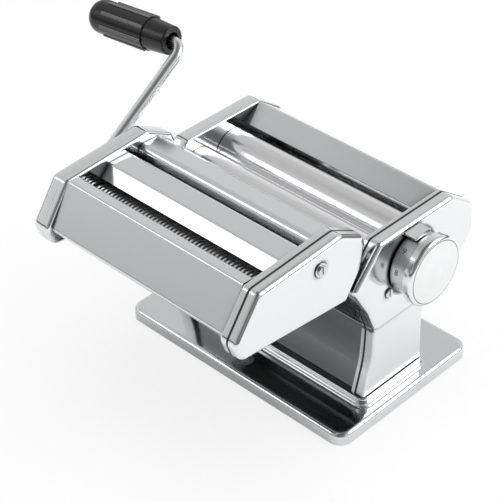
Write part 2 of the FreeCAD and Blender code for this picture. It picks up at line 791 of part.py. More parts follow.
def side_cover(side, holes):
    sign = "" if side == "right" else "-"
    ends = (COVER_INNER, COVER_FACE) if side == "right" else (f"-{COVER_FACE}", f"-{COVER_INNER}")
    cover = extruded("side_cover_" + side, body_outline("plinth_top + frame_seam"), *ends)
    face = size(sign + COVER_FACE)
    fillet(cover, "cover_edge_radius", lambda edge: lies_at(edge, "x", face))
    foot = draw(sketch_on(cover, "YZ_Plane", ("0", "0", f"{sign}({COVER_FACE} - cover_step_depth)")),
                box_corners(("2 * nose_y", "0"), ("back_y", "cover_step_z")))
    cut(cover, foot, COVER_FACE, forwards=side == "right")
    step = size("cover_step_z")
    fillet(cover, "cover_step_radius", lambda edge: lies_at(edge, "x", face) and lies_at(edge, "z", step))
    hollow(cover, "cover_wall", lambda one: lies_at(one, "x", size(sign + COVER_INNER)))
    plate_holes(cover, sign + COVER_FACE, holes)
    return keep("side_cover_" + side, cover)


side_cover("right", [("knob_y", "knob_z", "spindle_radius + slide_clearance"),
                     ("knob_y", "knob_z + index_pin_offset", "index_pin_radius + press_clearance"),
                     ("right_screw_y", "right_screw_z", "screw_shank_radius + slide_clearance")])
side_cover("left", [("roller_y", "roller_z", "crank_hole_radius"),
                    ("left_screw_y", "left_screw_z", "screw_shank_radius + slide_clearance")])


def sleeve(name, steps, bore, across, up):
    """A turned piece with a bore right through, from (x from, x to, radius) steps."""
    corners = [(steps[0][0], bore, None)]
    for x_from, x_to, radius in steps:
        corners += [(x_from, radius, None), (x_to, radius, None)]
    return turned(name, corners + [(steps[-1][1], bore, None)], across, up)


def screw(name, face, across, up, seat="0"):
    """A slotted screw in the right-hand face at that place, its head standing on a seat."""
    head = f"{face} + {seat}"
    body = turned(name, [
        (f"{face} - screw_shank_length", "0", None),
        (f"{face} - screw_shank_length", "screw_shank_radius", None),
        (head, "screw_shank_radius", None),
        (head, "screw_head_radius", None),
        (f"{head} + screw_head_height", "screw_head_radius", "screw_head_height / 2"),
        (f"{head} + screw_head_height", "0", None)], across, up)
    groove = draw(sketch_on(body, "YZ_Plane", (across, up, f"{head} + screw_head_height / 2")), box_corners(
        ("-screw_slot_width / 2", "-2 * screw_head_radius"),
        ("screw_slot_width / 2", "2 * screw_head_radius")))
    cut(body, groove, "screw_head_height")
    return body


def standoff(name, x_from, x_to, radius, across, up):
    """A post under a cover with a hole for its screw."""
    post = turned(name, bar_profile([(x_from, x_to, radius)]), across, up)
    hole = circle(sketch_on(post, "YZ_Plane", (across, up, f"{x_to} - screw_shank_length")),
                  "0", "0", "screw_shank_radius + press_clearance")
    cut(post, hole, "screw_shank_length")
    return post


COVER_UNDER = f"({COVER_FACE} - cover_wall)"
RIGHT_SCREW = ("right_screw_y", "right_screw_z")
LEFT_SCREW = ("left_screw_y", "left_screw_z")
POST = (FRAME_OUTER, COVER_UNDER, "post_radius")
group("cover_posts", [standoff("cover_post_right", *POST, *RIGHT_SCREW),
                      mirrored("cover_post_left", standoff("cover_post", *POST, *LEFT_SCREW))])
group("cover_screws", [screw("cover_screw_right", COVER_FACE, *RIGHT_SCREW),
                       mirrored("cover_screw_left", screw("cover_screw", COVER_FACE, *LEFT_SCREW))])


# Sheet panels between the frames: the curved front, the chute under the rollers and the hopper lip

bent_sheet("front_panel", [
    ("nose_y + 1.5 * panel_inset", "nose_z - panel_inset / 2", None),
    ("neck_y + panel_inset", "neck_z", "neck_radius"),
    ("waist_y + panel_inset", "waist_z", "waist_radius"),
    ("flare_y + panel_inset", "flare_z", "flare_radius"),
    ("foot_front_y + panel_inset", "plinth_top + frame_seam", None)], "sheet_thickness", "inner_half_width")
bent_sheet("chute_panel", [
    ("chute_start_y", "chute_start_z", None),
    ("foot_rear_y - panel_inset", "foot_rear_top", "3 * bend_radius"),
    ("foot_rear_y - panel_inset", "plinth_top + frame_seam", None)], "sheet_thickness", "inner_half_width")
bent_sheet("hopper_plate", [
    ("hopper_low_y", "hopper_low_z", None),
    ("top_rear_y", "body_top - panel_inset / 2", "bend_radius"),
    ("back_y - panel_inset", "back_upper_z", "bend_radius"),
    ("back_y - panel_inset", "back_lower_z", "bend_radius"),
    ("outlet_y - panel_inset / 2", "outlet_z + panel_inset / 2", None)],
    "sheet_thickness", "inner_half_width")


# Main rollers: the driven one in fixed bushes, the other in a carriage that slides to set the gap

ROLLER_HALF = "(inner_half_width - roller_end_gap)"
GEAR_PITCH = "(roller_radius + nip_gap / 2)"
BUSH_END = f"({FRAME_OUTER} + bush_flange_thickness)"
drive_roller = turned("drive_roller", bar_profile([
    (f"-{DRIVE_END}", f"-{ROLLER_HALF}", "drive_journal_radius"),
    (f"-{ROLLER_HALF}", ROLLER_HALF, "roller_radius"),
    (ROLLER_HALF, BUSH_END, "drive_journal_radius")]), "roller_y", "roller_z")
drive_socket = sketch_on(drive_roller, "YZ_Plane", ("roller_y", "roller_z", f"-{DRIVE_END}"))
cut(drive_roller, draw(drive_socket, hexagon("socket_flats")), "socket_depth")
keep("drive_roller", drive_roller)
pressure_roller = turned("pressure_roller", bar_profile([
    (f"-{GEAR_OUTER}", f"-{ROLLER_HALF}", "pressure_journal_radius"),
    (f"-{ROLLER_HALF}", ROLLER_HALF, "roller_radius"),
    (ROLLER_HALF, f"{YOKE_OUTER} - slide_clearance", "pressure_journal_radius")]), PRESSURE_Y, "roller_z")
keep("pressure_roller", pressure_roller)

bush = sleeve("drive_bush", [
    ("inner_half_width", FRAME_OUTER, BUSH_RADIUS),
    (FRAME_OUTER, BUSH_END, f"{BUSH_RADIUS} + bush_flange_width")],
    "drive_journal_radius + running_clearance", "roller_y", "roller_z")
pair("drive_bushes", bush)


def flank_angle(radius, base):
    """How far an involute has swung from its start on the base circle."""
    return math.sqrt(max((radius / base) ** 2 - 1, 0)) - math.acos(min(base / radius, 1))


def spur_gear(label, teeth, pitch, addendum, dedendum, backlash, bore, x_from, x_to, across, up, tooth_up):
    """An involute gear about an X axis, with a tooth or a space at the +Y side."""
    count = int(size(teeth))
    pitch_r = size(pitch)
    base_r = pitch_r * math.cos(math.radians(size("pressure_angle")))
    root_r = pitch_r - size(dedendum)
    tip_r = pitch_r + size(addendum)
    half = math.pi / count / 2 - size(backlash) / 4 / pitch_r + flank_angle(pitch_r, base_r)
    radii = [root_r] + [base_r + (tip_r - base_r) * step / 5 for step in range(6)]
    points = []
    for tooth in range(count):
        middle = 2 * math.pi * (tooth + (0 if tooth_up else 0.5)) / count
        flank = [(radius, half - (flank_angle(radius, base_r) if radius > base_r else 0)) for radius in radii]
        turns = [(radius, middle - swing) for radius, swing in flank]
        turns += [(radius, middle + swing) for radius, swing in reversed(flank)]
        points += [Vector(0, radius * math.cos(turn), radius * math.sin(turn)) for radius, turn in turns]
    width = size(f"({x_to}) - ({x_from})")
    blank = Part.Face(Part.makePolygon(points + points[:1])).extrude(Vector(width, 0, 0))
    hole = Part.makeCylinder(size(bore), width, Vector(), Vector(1, 0, 0))
    gear = DOC.addObject("Part::Feature", label)
    gear.Shape = blank.cut(hole)
    gear.Placement.Base = Vector(size(x_from), size(across), size(up))
    return keep(label, gear)


MAIN_GEAR = ("gear_teeth", GEAR_PITCH, "gear_addendum", "gear_dedendum", "gear_backlash")
spur_gear("drive_gear", *MAIN_GEAR, "drive_journal_radius + press_clearance",
          f"-{GEAR_OUTER}", f"-{GEAR_INNER}", "roller_y", "roller_z", True)
spur_gear("pressure_gear", *MAIN_GEAR, "pressure_journal_radius + press_clearance",
          f"-{GEAR_OUTER}", f"-{GEAR_INNER}", PRESSURE_Y, "roller_z", int(size("gear_teeth")) % 2 == 1)

SCRAPER_TOP = "(roller_z - roller_radius - scraper_gap)"
bent_sheet("scraper_front", [
    ("roller_y", SCRAPER_TOP, None),
    ("roller_y - scraper_reach", f"{SCRAPER_TOP} - scraper_drop", None)],
    "scraper_thickness", "inner_half_width")
bent_sheet("scraper_rear", [
    (f"{PRESSURE_Y} + gap_travel / 2 + scraper_reach", f"{SCRAPER_TOP} - scraper_drop", None),
    (f"{PRESSURE_Y} + gap_travel / 2", SCRAPER_TOP, None)],
    "scraper_thickness", "inner_half_width")


# Carriage: two bearing blocks in the frame windows, tied behind the roller by a cross bar

def carriage_block(side):
    block = extruded("carriage_block_" + side, box_corners(
        (f"{PRESSURE_Y} - block_half_width", "roller_z - block_half_height"),
        (f"{PRESSURE_Y} + block_half_width", "roller_z + block_half_height")), "inner_half_width", YOKE_INNER)
    yoke = draw(sketch_on(block, "YZ_Plane", ("0", "0", YOKE_INNER)), box_corners(
        (f"{PRESSURE_Y} - block_half_width", "roller_z - yoke_half_height"),
        (f"{PRESSURE_Y} + yoke_rear", "roller_z + yoke_half_height")))
    pad(block, yoke, "yoke_thickness")
    plate_holes(block, "inner_half_width", [
        (PRESSURE_Y, "roller_z", "pressure_journal_radius + running_clearance"),
        (BAR_Y, BAR_Z, "yoke_bar_radius + press_clearance")])
    return block


carriage_right = carriage_block("right")
follower = draw(sketch_on(carriage_right, "YZ_Plane", ("0", "0", YOKE_OUTER)), box_corners(
    ("knob_y + cam_radius + cam_clearance", "knob_z - follower_half_height"),
    ("knob_y + cam_radius + cam_clearance + follower_depth", "knob_z + follower_half_height")))
pad(carriage_right, follower, f"{CAM_INNER} + cam_thickness - {YOKE_OUTER}")
keep("carriage_block_right", carriage_right)
keep("carriage_block_left", mirrored("carriage_block_left", carriage_block("plain")))
keep("carriage_bar", turned("carriage_bar", bar_profile([(f"-{YOKE_OUTER}", YOKE_OUTER, "yoke_bar_radius")]),
                            BAR_Y, BAR_Z))


# Regulator: a spindle with a spiral cam behind the cover and a sprung, hollow knob outside it

CAM_OUTER = f"({CAM_INNER} + cam_thickness)"
NUT_INNER = f"({SPINDLE_END} - nut_thickness)"
DRUM_INNER = "(drum_radius - drum_wall)"
spindle = turned("regulator_spindle", bar_profile([
    ("inner_half_width", f"{FRAME_OUTER} + slide_clearance", "pivot_radius"),
    (f"{FRAME_OUTER} + slide_clearance", CAM_OUTER, "cam_seat_radius"),
    (CAM_OUTER, KNOB_BACK, "spindle_radius"),
    (KNOB_BACK, SPINDLE_END, "spindle_thread_radius")]), "knob_y", "knob_z")
key = draw(sketch_on(spindle, "YZ_Plane", ("knob_y", "knob_z", KNOB_BACK)), hexagon("spindle_flats"))
pad(spindle, key, f"{NUT_INNER} - {KNOB_BACK}")
keep("regulator_spindle", spindle)

cam_points = []
for step in range(72):
    turn = 360 * step / 72
    sweep = size("cam_sweep")
    rise = turn / sweep if turn <= sweep else (1 + math.cos(math.pi * (turn - sweep) / (360 - sweep))) / 2
    cam_r = size("cam_radius") + size("gap_travel") * rise
    cam_points.append(Vector(0, cam_r * math.cos(math.radians(-turn)), cam_r * math.sin(math.radians(-turn))))
cam_edge = Part.makePolygon(cam_points + cam_points[:1])
cam_width = size("cam_thickness")
cam_blank = Part.Face(cam_edge).extrude(Vector(cam_width, 0, 0))
cam_hole = Part.makeCylinder(size("cam_seat_radius + press_clearance"), cam_width, Vector(), Vector(1, 0, 0))
cam = DOC.addObject("Part::Feature", "regulator_cam")
cam.Shape = cam_blank.cut(cam_hole)
cam.Placement.Base = Vector(size(CAM_INNER), size("knob_y"), size("knob_z"))
keep("regulator_cam", cam)

keep("regulator_nut", sleeve("regulator_nut", [(NUT_INNER, SPINDLE_END, "nut_radius")],
                             "spindle_thread_radius + press_clearance", "knob_y", "knob_z"))

drum = turned("knob_drum", [
    (KNOB_BACK, "0", None),
    (KNOB_BACK, "drum_radius", "drum_wall / 3"),
    (DRUM_FRONT, "drum_radius", None),
    (DRUM_FRONT, DRUM_INNER, None),
    (f"{KNOB_BACK} + drum_web", DRUM_INNER, None),
    (f"{KNOB_BACK} + drum_web", "0", None)], "knob_y", "knob_z")
KNOB_PLACE = ("knob_y", "knob_z", KNOB_BACK)
cut(drum, draw(sketch_on(drum, "YZ_Plane", KNOB_PLACE), hexagon("spindle_flats + 2 * knob_key_clearance")))
dimple_sketch = circle(sketch_on(drum, "YZ_Plane", KNOB_PLACE), "0", "index_pin_offset", "dimple_radius")
dimple = cut(drum, dimple_sketch, "dimple_depth")
pattern(drum, "PolarPattern", dimple, (dimple_sketch, ["N_Axis"]), None, "knob_stops")
keep("knob_drum", drum)

keep("knob_cap", turned("knob_cap", [
    (CAP_RECESS, "0", None),
    (CAP_RECESS, DRUM_INNER, None),
    (DRUM_FRONT, DRUM_INNER, None),
    (DRUM_FRONT, "drum_radius + press_clearance", None),
    (CAP_SKIRT, "drum_radius + press_clearance", None),
    (CAP_SKIRT, "cap_radius", "drum_wall / 4"),
    (CAP_SHOULDER, "cap_radius", "cap_edge_radius"),
    (CAP_CROWN, "0", None)], "knob_y", "knob_z"))

spring_from = size(f"{KNOB_BACK} + drum_web + knob_spring_wire / 2")
spring_rise = size(NUT_INNER) - size("knob_spring_wire / 2") - spring_from
coil = Part.makeHelix(spring_rise / size("knob_spring_turns"), spring_rise, size("knob_spring_radius"))
half_wire = size("knob_spring_wire / 2")
wire = Part.makePolygon([Vector(size("knob_spring_radius") + half_wire * across, 0, half_wire * up)
                         for across, up in ((-1, -1), (1, -1), (1, 1), (-1, 1), (-1, -1))])
spring = DOC.addObject("Part::Feature", "knob_spring")
spring.Shape = Part.Wire(coil.Edges).makePipeShell([wire], True, True)
spring_place = Vector(spring_from, size("knob_y"), size("knob_z"))
spring.Placement = Placement(spring_place, Rotation(Vector(0, 1, 0), 90))
keep("knob_spring", spring)

keep("index_pin", turned("index_pin", [
    (f"{KNOB_BACK} - index_pin_gap - index_pin_length", "0", None),
    (f"{KNOB_BACK} - index_pin_gap - index_pin_length", "index_pin_radius", None),
    (f"{KNOB_BACK} - index_pin_gap", "index_pin_radius", "index_pin_radius / 2"),
    (f"{KNOB_BACK} - index_pin_gap", "0", None)], "knob_y", "knob_z + index_pin_offset"))
POINTER_LOW = "(knob_z + drum_radius + pointer_gap)"
keep("index_pointer", extruded("index_pointer", box_corners(
    ("knob_y - pointer_half_width", POINTER_LOW),
    ("knob_y + pointer_half_width", f"{POINTER_LOW} + pointer_height"), "pointer_height / 3"),
    COVER_FACE, f"{COVER_FACE} + pointer_reach"))


# Cutter head: two end plates with bushes, ties and hanging studs, closed by drawn covers

cutter_plate = extruded("cutter_plate_right", CUTTER_OUTLINE, CUTTER_INNER, FRAME_OUTER)
fillet(cutter_plate, "cutter_rim_radius", lambda edge: lies_at(edge, "x", size(CUTTER_INNER)))
hollow(cutter_plate, "cutter_plate_thickness", lambda face: lies_at(face, "x", size(FRAME_OUTER)))
notch = draw(sketch_on(cutter_plate, "YZ_Plane", ("nose_y", "nose_z", CUTTER_PLATE_OUTER), TONGUE_TURN),
             box_corners(("-tongue_end", "-tongue_reach"), ("2 * tongue_end", "tongue_notch")))
cut(cutter_plate, notch, "frame_thickness + frame_seam")
CUTTER_TIES = [(f"nose_y + {name}_tie_dy", f"nose_z + {name}_tie_dz") for name in ("front", "centre", "rear")]
plate_holes(cutter_plate, CUTTER_INNER,
            [(across, CUTTER_AXIS_Z, f"{CUTTER_BUSH_RADIUS} + press_clearance") for across in CUTTER_AXES]
            + [(across, up, "cutter_spigot_radius + press_clearance") for across, up in CUTTER_TIES])
keep("cutter_plate_right", cutter_plate)
keep("cutter_plate_left", mirrored("cutter_plate_left", cutter_plate))

cutter_rods = []
for number, (across, up) in enumerate(CUTTER_TIES):
    cutter_rods.append(turned(f"cutter_tie_rod_{number}", bar_profile([
        (f"-{CUTTER_PLATE_OUTER}", f"-{CUTTER_INNER}", "cutter_spigot_radius"),
        (f"-{CUTTER_INNER}", CUTTER_INNER, "cutter_tie_radius"),
        (CUTTER_INNER, CUTTER_PLATE_OUTER, "cutter_spigot_radius")]), across, up))
group("cutter_tie_rods", cutter_rods)

CUTTER_BUSH_END = f"({CUTTER_PLATE_OUTER} + bush_flange_thickness)"
cutter_bushes = []
for number, across in enumerate(CUTTER_AXES):
    cutter_bush = sleeve(f"cutter_bush_{number}", [
        (CUTTER_INNER, CUTTER_PLATE_OUTER, CUTTER_BUSH_RADIUS),
        (CUTTER_PLATE_OUTER, CUTTER_BUSH_END, f"{CUTTER_BUSH_RADIUS} + bush_flange_width / 2")],
        "cutter_journal_radius + running_clearance", across, CUTTER_AXIS_Z)
    cutter_bushes += [cutter_bush, mirrored(f"cutter_bush_left_{number}", cutter_bush)]
group("cutter_bushes", cutter_bushes)

studs = []
for along in ("stud_low", "stud_high"):
    stud_steps = [(CUTTER_PLATE_OUTER, f"{CUTTER_PLATE_OUTER} + stud_length", "stud_radius")]
    stud = turned(along, bar_profile(stud_steps),
                  f"nose_y + {along} * cos(rim_angle) - stud_offset * sin(rim_angle)",
                  f"nose_z + {along} * sin(rim_angle) + stud_offset * cos(rim_angle)")
    studs += [stud, mirrored(along + "_left", stud)]
group("cutter_studs", studs)


def cutter_cover(side, holes):
    sign = "" if side == "right" else "-"
    ends = (COVER_INNER, CUTTER_FACE) if side == "right" else (f"-{CUTTER_FACE}", f"-{COVER_INNER}")
    cover = extruded("cutter_cover_" + side, CUTTER_OUTLINE, *ends)
    face = size(sign + CUTTER_FACE)
    fillet(cover, "cutter_edge_radius", lambda edge: lies_at(edge, "x", face))
    hollow(cover, "cover_wall", lambda one: lies_at(one, "x", size(sign + COVER_INNER)))
    plate_holes(cover, sign + CUTTER_FACE, holes)
    return keep("cutter_cover_" + side, cover)


CUTTER_SCREW_HOLE = (*CUTTER_SCREW, "screw_shank_radius + slide_clearance")
cutter_cover("right", [CUTTER_SCREW_HOLE])
cutter_cover("left", [CUTTER_SCREW_HOLE, (FINE_FRONT_Y, CUTTER_AXIS_Z, "crank_hole_radius"),
                      (WIDE_FRONT_Y, CUTTER_AXIS_Z, "crank_hole_radius")])
pair("cutter_posts", standoff("cutter_post", CUTTER_PLATE_OUTER, f"({CUTTER_FACE} - cover_wall)",
                              "cutter_post_radius", *CUTTER_SCREW))
pair("cutter_screws", screw("cutter_screw", CUTTER_FACE, *CUTTER_SCREW, "washer_thickness"))
pair("cutter_washers", sleeve("cutter_washer", [
    (CUTTER_FACE, f"{CUTTER_FACE} + washer_thickness", "washer_radius")],
    "screw_shank_radius + press_clearance", *CUTTER_SCREW))


# Sheets of the cutter head: front guide, divider between the two pairs, and the rear guide

bent_sheet("cutter_front_panel", [
    from_nose("guide_edge"), from_nose("guide_crest", "bend_radius"), from_nose("guide_brow", "bend_radius"),
    from_nose("guide_foot", "bend_radius"), from_nose("guide_hem")], "sheet_thickness", CUTTER_INNER)
bent_sheet("cutter_divider", [
    from_nose("divider_edge"), from_nose("divider_front", "bend_radius"),
    from_nose("divider_rear", "bend_radius"), from_nose("divider_hem")],
    "sheet_thickness", CUTTER_INNER)
bent_sheet("cutter_rear_panel", [
    from_nose("apron_edge"), from_nose("apron_crest", "cutter_peak_radius / 2"),
    from_nose("apron_brow", "bend_radius"), from_nose("apron_shoulder", "bend_radius"),
    from_nose("apron_heel", "bend_radius"), from_nose("apron_hem")], "sheet_thickness", CUTTER_INNER)


# Cutting rollers: two pairs of ringed rollers that interleave, with their gears and stripping combs

RING_HALF = f"({CUTTER_INNER} - ring_end_gap)"


def ring_half(pitch):
    """Half the width of a ring, so that the rings of a pair pass with a clearance on each side."""
    return f"({pitch} / 4 - ring_clearance / 2)"


def most_rings(pitch):
    """The number of rings that fit between the end plates."""
    return 1 + int(2 * size(f"{RING_HALF} - {ring_half(pitch)}") / size(pitch))


FINE_RINGS = most_rings("fine_pitch")
WIDE_RINGS = most_rings("wide_pitch")


def cutting_roller(label, across, pitch, rings, driven):
    """A roller with rings all along it; a driven one takes the crank in its left end."""
    end = JOURNAL_END if driven else f"({CUTTER_BUSH_END} + slide_clearance)"
    roller = turned(label, bar_profile([
        (f"-{end}", f"-{RING_HALF}", "cutter_journal_radius"),
        (f"-{RING_HALF}", RING_HALF, "ring_root_radius"),
        (RING_HALF, f"{CUTTER_BUSH_END} + slide_clearance", "cutter_journal_radius"),
        (f"{CUTTER_BUSH_END} + slide_clearance", f"{CUTTER_GEAR_OUTER} + slide_clearance",
         "cutter_gear_seat")]),
        across, CUTTER_AXIS_Z)
    first = f"-({rings} - 1) * {pitch} / 2"
    half = ring_half(pitch)
    ring = draw(sketch_on(roller, "XZ_Plane", ("0", CUTTER_AXIS_Z, f"-({across})")), box_corners(
        (f"{first} - {half}", "ring_root_radius - ring_clearance"), (f"{first} + {half}", "ring_radius")))
    turn = revolved(roller, ring)
    pattern(roller, "LinearPattern", turn, (ring, ["H_Axis"]), f"({rings} - 1) * {pitch}", rings)
    if driven:
        hole = sketch_on(roller, "YZ_Plane", (across, CUTTER_AXIS_Z, f"-{JOURNAL_END}"))
        cut(roller, draw(hole, hexagon("socket_flats")), "socket_depth")
    return keep(label, roller)


cutting_roller("fine_roller_front", FINE_FRONT_Y, "fine_pitch", f"{FINE_RINGS}", True)
cutting_roller("fine_roller_rear", FINE_REAR_Y, "fine_pitch", f"{FINE_RINGS - 1}", False)
cutting_roller("wide_roller_front", WIDE_FRONT_Y, "wide_pitch", f"{WIDE_RINGS - 1}", True)
cutting_roller("wide_roller_rear", WIDE_REAR_Y, "wide_pitch", f"{WIDE_RINGS}", False)

CUTTER_GEAR = ("cutter_gear_teeth", "cutter_centres / 2", "cutter_gear_addendum", "cutter_gear_dedendum",
               "cutter_gear_backlash", "cutter_gear_seat + press_clearance",
               CUTTER_GEAR_INNER, CUTTER_GEAR_OUTER)
EVEN_TEETH = int(size("cutter_gear_teeth")) % 2 == 0
for label, across, tooth_up in (("fine_gear_front", FINE_FRONT_Y, True),
                                ("fine_gear_rear", FINE_REAR_Y, not EVEN_TEETH),
                                ("wide_gear_front", WIDE_FRONT_Y, True),
                                ("wide_gear_rear", WIDE_REAR_Y, not EVEN_TEETH)):
    spur_gear(label, *CUTTER_GEAR, across, CUTTER_AXIS_Z, tooth_up)


def comb(label, across, towards, pitch, grooves):
    """A strip under a cutting roller whose tines stand in the grooves on its exit side."""
    top = f"({CUTTER_AXIS_Z} - ring_radius - comb_drop)"
    away = "-" if towards == "+" else "+"
    edges = sorted([f"{across} {towards} comb_inner", f"{across} {away} comb_outer"], key=size)
    strip = extruded(label, box_corners((edges[0], f"{top} - comb_thickness"), (edges[1], top)),
                     f"-{CUTTER_INNER}", CUTTER_INNER)
    width = f"({pitch} / 2 + ring_clearance - 2 * comb_clearance)"
    first = f"(-({grooves} - 1) * {pitch} / 2)"
    sides = sorted([f"{across} {towards} comb_inner / 6", f"{across} {towards} comb_inner"], key=size)
    tine = draw(sketch_on(strip, "YZ_Plane", ("0", "0", f"{first} - {width} / 2")), box_corners(
        (sides[0], f"{top} - comb_thickness / 2"),
        (sides[1], f"{CUTTER_AXIS_Z} - ring_root_radius - 2 * comb_clearance")))
    row = f"({grooves} - 1) * {pitch}"
    pattern(strip, "LinearPattern", pad(strip, tine, width), (tine, ["N_Axis"]), row, grooves)
    return keep(label, strip)


comb("fine_comb_front", FINE_FRONT_Y, "+", "fine_pitch", f"{FINE_RINGS - 1}")
comb("fine_comb_rear", FINE_REAR_Y, "-", "fine_pitch", f"{FINE_RINGS - 2}")
comb("wide_comb_front", WIDE_FRONT_Y, "+", "wide_pitch", f"{WIDE_RINGS - 2}")
comb("wide_comb_rear", WIDE_REAR_Y, "-", "wide_pitch", f"{WIDE_RINGS - 1}")


# Crank: a round bar bent twice, keyed into the wide front roller, with a turning grip on its outer end

KEY_END = f"({JOURNAL_END} + slide_clearance)"
GRIP_END = "(grip_start + grip_length)"
ROD_END = f"({GRIP_END} - grip_end_wall - slide_clearance)"
crank = new_body("crank_rod")
HUB_PLACE = (WIDE_FRONT_Y, CUTTER_AXIS_Z, f"-{KEY_END}")
hub = circle(sketch_on(crank, "YZ_Plane", HUB_PLACE), "0", "0", "crank_radius")
spine = draw(sketch_on(crank, "XZ_Plane", ("0", CUTTER_AXIS_Z, f"-{WIDE_FRONT_Y}"),
                       (Vector(-1, 0, 0), "90 - crank_angle")), [
    (f"-{KEY_END}", "0", None),
    (f"-{ARM_X}", "0", "crank_hub_bend"),
    (f"-{ARM_X}", "crank_reach", "crank_elbow_bend"),
    (f"-({ARM_X} + {ROD_END} * cos(grip_droop))",
     f"crank_reach - {ROD_END} * sin(grip_droop)", None)], closed=False)
rod = crank.newObject("PartDesign::AdditivePipe", "crank_rod_pipe")
rod.Profile = hub
rod.Spine = (spine, [])
rod.Mode = "Frenet"
DOC.recompute()
crank_key = draw(sketch_on(crank, "YZ_Plane", HUB_PLACE), hexagon("crank_flats"))
pad(crank, crank_key, "socket_depth - slide_clearance")
keep("crank_rod", crank)


def on_elbow(body):
    """Move a piece made along -X from the origin onto the drooping outer end of the crank."""
    arm = math.radians(size("crank_angle"))
    pivot = Vector(0, -math.sin(arm), math.cos(arm))
    body.Placement = Placement(Vector(), Rotation(pivot, size("grip_droop")))
    body.setExpression("Placement.Rotation.Angle", bound("grip_droop"))
    body.setExpression("Placement.Base.x", bound(f"-{ARM_X}"))
    body.setExpression("Placement.Base.y", bound(f"{WIDE_FRONT_Y} + crank_reach * cos(crank_angle)"))
    body.setExpression("Placement.Base.z", bound(f"{CUTTER_AXIS_Z} + crank_reach * sin(crank_angle)"))
    DOC.recompute()
    return body


RECESS_FLOOR = "(grip_start + grip_recess_depth)"
GRIP_BORE = "crank_radius + running_clearance"
grip = turned("crank_grip", [
    (f"-{RECESS_FLOOR}", GRIP_BORE, None),
    (f"-{RECESS_FLOOR}", "grip_recess_radius", None),
    ("-grip_start", "grip_recess_radius", None),
    ("-grip_start", "grip_neck_radius", "grip_mouth_rounding"),
    ("-(grip_start + grip_neck_length)", "grip_shoulder_radius", None),
    ("-(grip_start + grip_neck_length)", "grip_radius", None),
    (f"-{GRIP_END}", "grip_radius", "grip_end_radius"),
    (f"-{GRIP_END}", "0", None),
    (f"-({GRIP_END} - grip_end_wall)", "0", None),
    (f"-({GRIP_END} - grip_end_wall)", GRIP_BORE, None)], "0", "0")
rib_sketch = draw(sketch_on(grip, "YZ_Plane", ("0", "0", "-(grip_start + grip_rib_end)")), box_corners(
    ("-grip_rib_width / 2", "grip_radius - grip_rib_height"),
    ("grip_rib_width / 2", "grip_radius + grip_rib_height"), "grip_rib_height / 2"))
rib = pad(grip, rib_sketch, "grip_rib_end - grip_neck_length")
pattern(grip, "PolarPattern", rib, (rib_sketch, ["N_Axis"]), None, "grip_ribs")
keep("crank_grip", on_elbow(grip))

WASHER_OUTER = f"({RECESS_FLOOR} - slide_clearance)"
keep("grip_washer", on_elbow(sleeve("grip_washer", [
    (f"-{WASHER_OUTER}", f"-({WASHER_OUTER} - grip_washer_thickness)", "grip_washer_radius")],
    "crank_radius + press_clearance", "0", "0")))


# Finished parts: each one sound, then written out under its own name

for thing in DOC.Objects:
    if {"Invalid", "Error"} & set(thing.State):
        raise RuntimeError(f"{thing.Label} did not build")
os.makedirs("parts", exist_ok=True)
for part in PARTS:
    if part.Shape.isNull() or not part.Shape.isValid() or not part.Shape.Solids:
        raise RuntimeError(f"{part.Label} is not sound")
    part.Shape.exportStep(f"parts/{part.Label}.step")
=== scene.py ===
import json
import math

import bpy
from mathutils import Matrix, Vector


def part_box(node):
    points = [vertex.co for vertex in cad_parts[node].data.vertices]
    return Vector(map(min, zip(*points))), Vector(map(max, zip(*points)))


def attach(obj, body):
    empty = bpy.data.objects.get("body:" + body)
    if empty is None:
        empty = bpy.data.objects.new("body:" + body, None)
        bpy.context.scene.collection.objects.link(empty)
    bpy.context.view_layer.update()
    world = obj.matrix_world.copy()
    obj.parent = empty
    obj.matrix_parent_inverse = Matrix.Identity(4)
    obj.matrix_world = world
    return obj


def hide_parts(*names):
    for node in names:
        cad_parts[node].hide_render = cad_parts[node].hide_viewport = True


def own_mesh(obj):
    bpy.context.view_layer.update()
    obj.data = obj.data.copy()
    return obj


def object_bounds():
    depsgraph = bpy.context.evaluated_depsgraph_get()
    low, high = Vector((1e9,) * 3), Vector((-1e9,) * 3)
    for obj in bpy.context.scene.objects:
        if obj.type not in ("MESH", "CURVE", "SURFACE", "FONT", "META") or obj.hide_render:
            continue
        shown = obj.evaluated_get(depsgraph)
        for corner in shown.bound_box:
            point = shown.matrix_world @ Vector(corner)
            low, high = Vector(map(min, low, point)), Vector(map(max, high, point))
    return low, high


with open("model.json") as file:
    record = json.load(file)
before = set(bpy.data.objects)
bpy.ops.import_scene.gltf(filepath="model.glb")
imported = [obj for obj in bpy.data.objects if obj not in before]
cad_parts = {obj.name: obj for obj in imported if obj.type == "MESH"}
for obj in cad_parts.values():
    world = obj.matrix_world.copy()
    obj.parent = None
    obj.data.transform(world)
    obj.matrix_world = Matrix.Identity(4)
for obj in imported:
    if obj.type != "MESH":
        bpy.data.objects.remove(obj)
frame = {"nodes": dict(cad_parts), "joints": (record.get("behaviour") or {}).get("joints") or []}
cad_box = [list(corner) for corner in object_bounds()]
solids = frame["nodes"]
bpy.context.scene.view_settings.view_transform = "Standard"


# Camera: a long lens over the front right corner, looking down into the hopper.
# The picture is 502 pixels square, and its middle lies a little left of the lens axis.
azimuth = math.radians(44.788)
elevation = math.radians(37.212)
roll = math.radians(-1.481)
looks_at = Vector((0.0, -0.0152, 0.075))
camera_distance = 1.0578
picture_pixels = 502
focal_pixels = 1673.2
axis_pixel = Vector((276.97, 255.52))

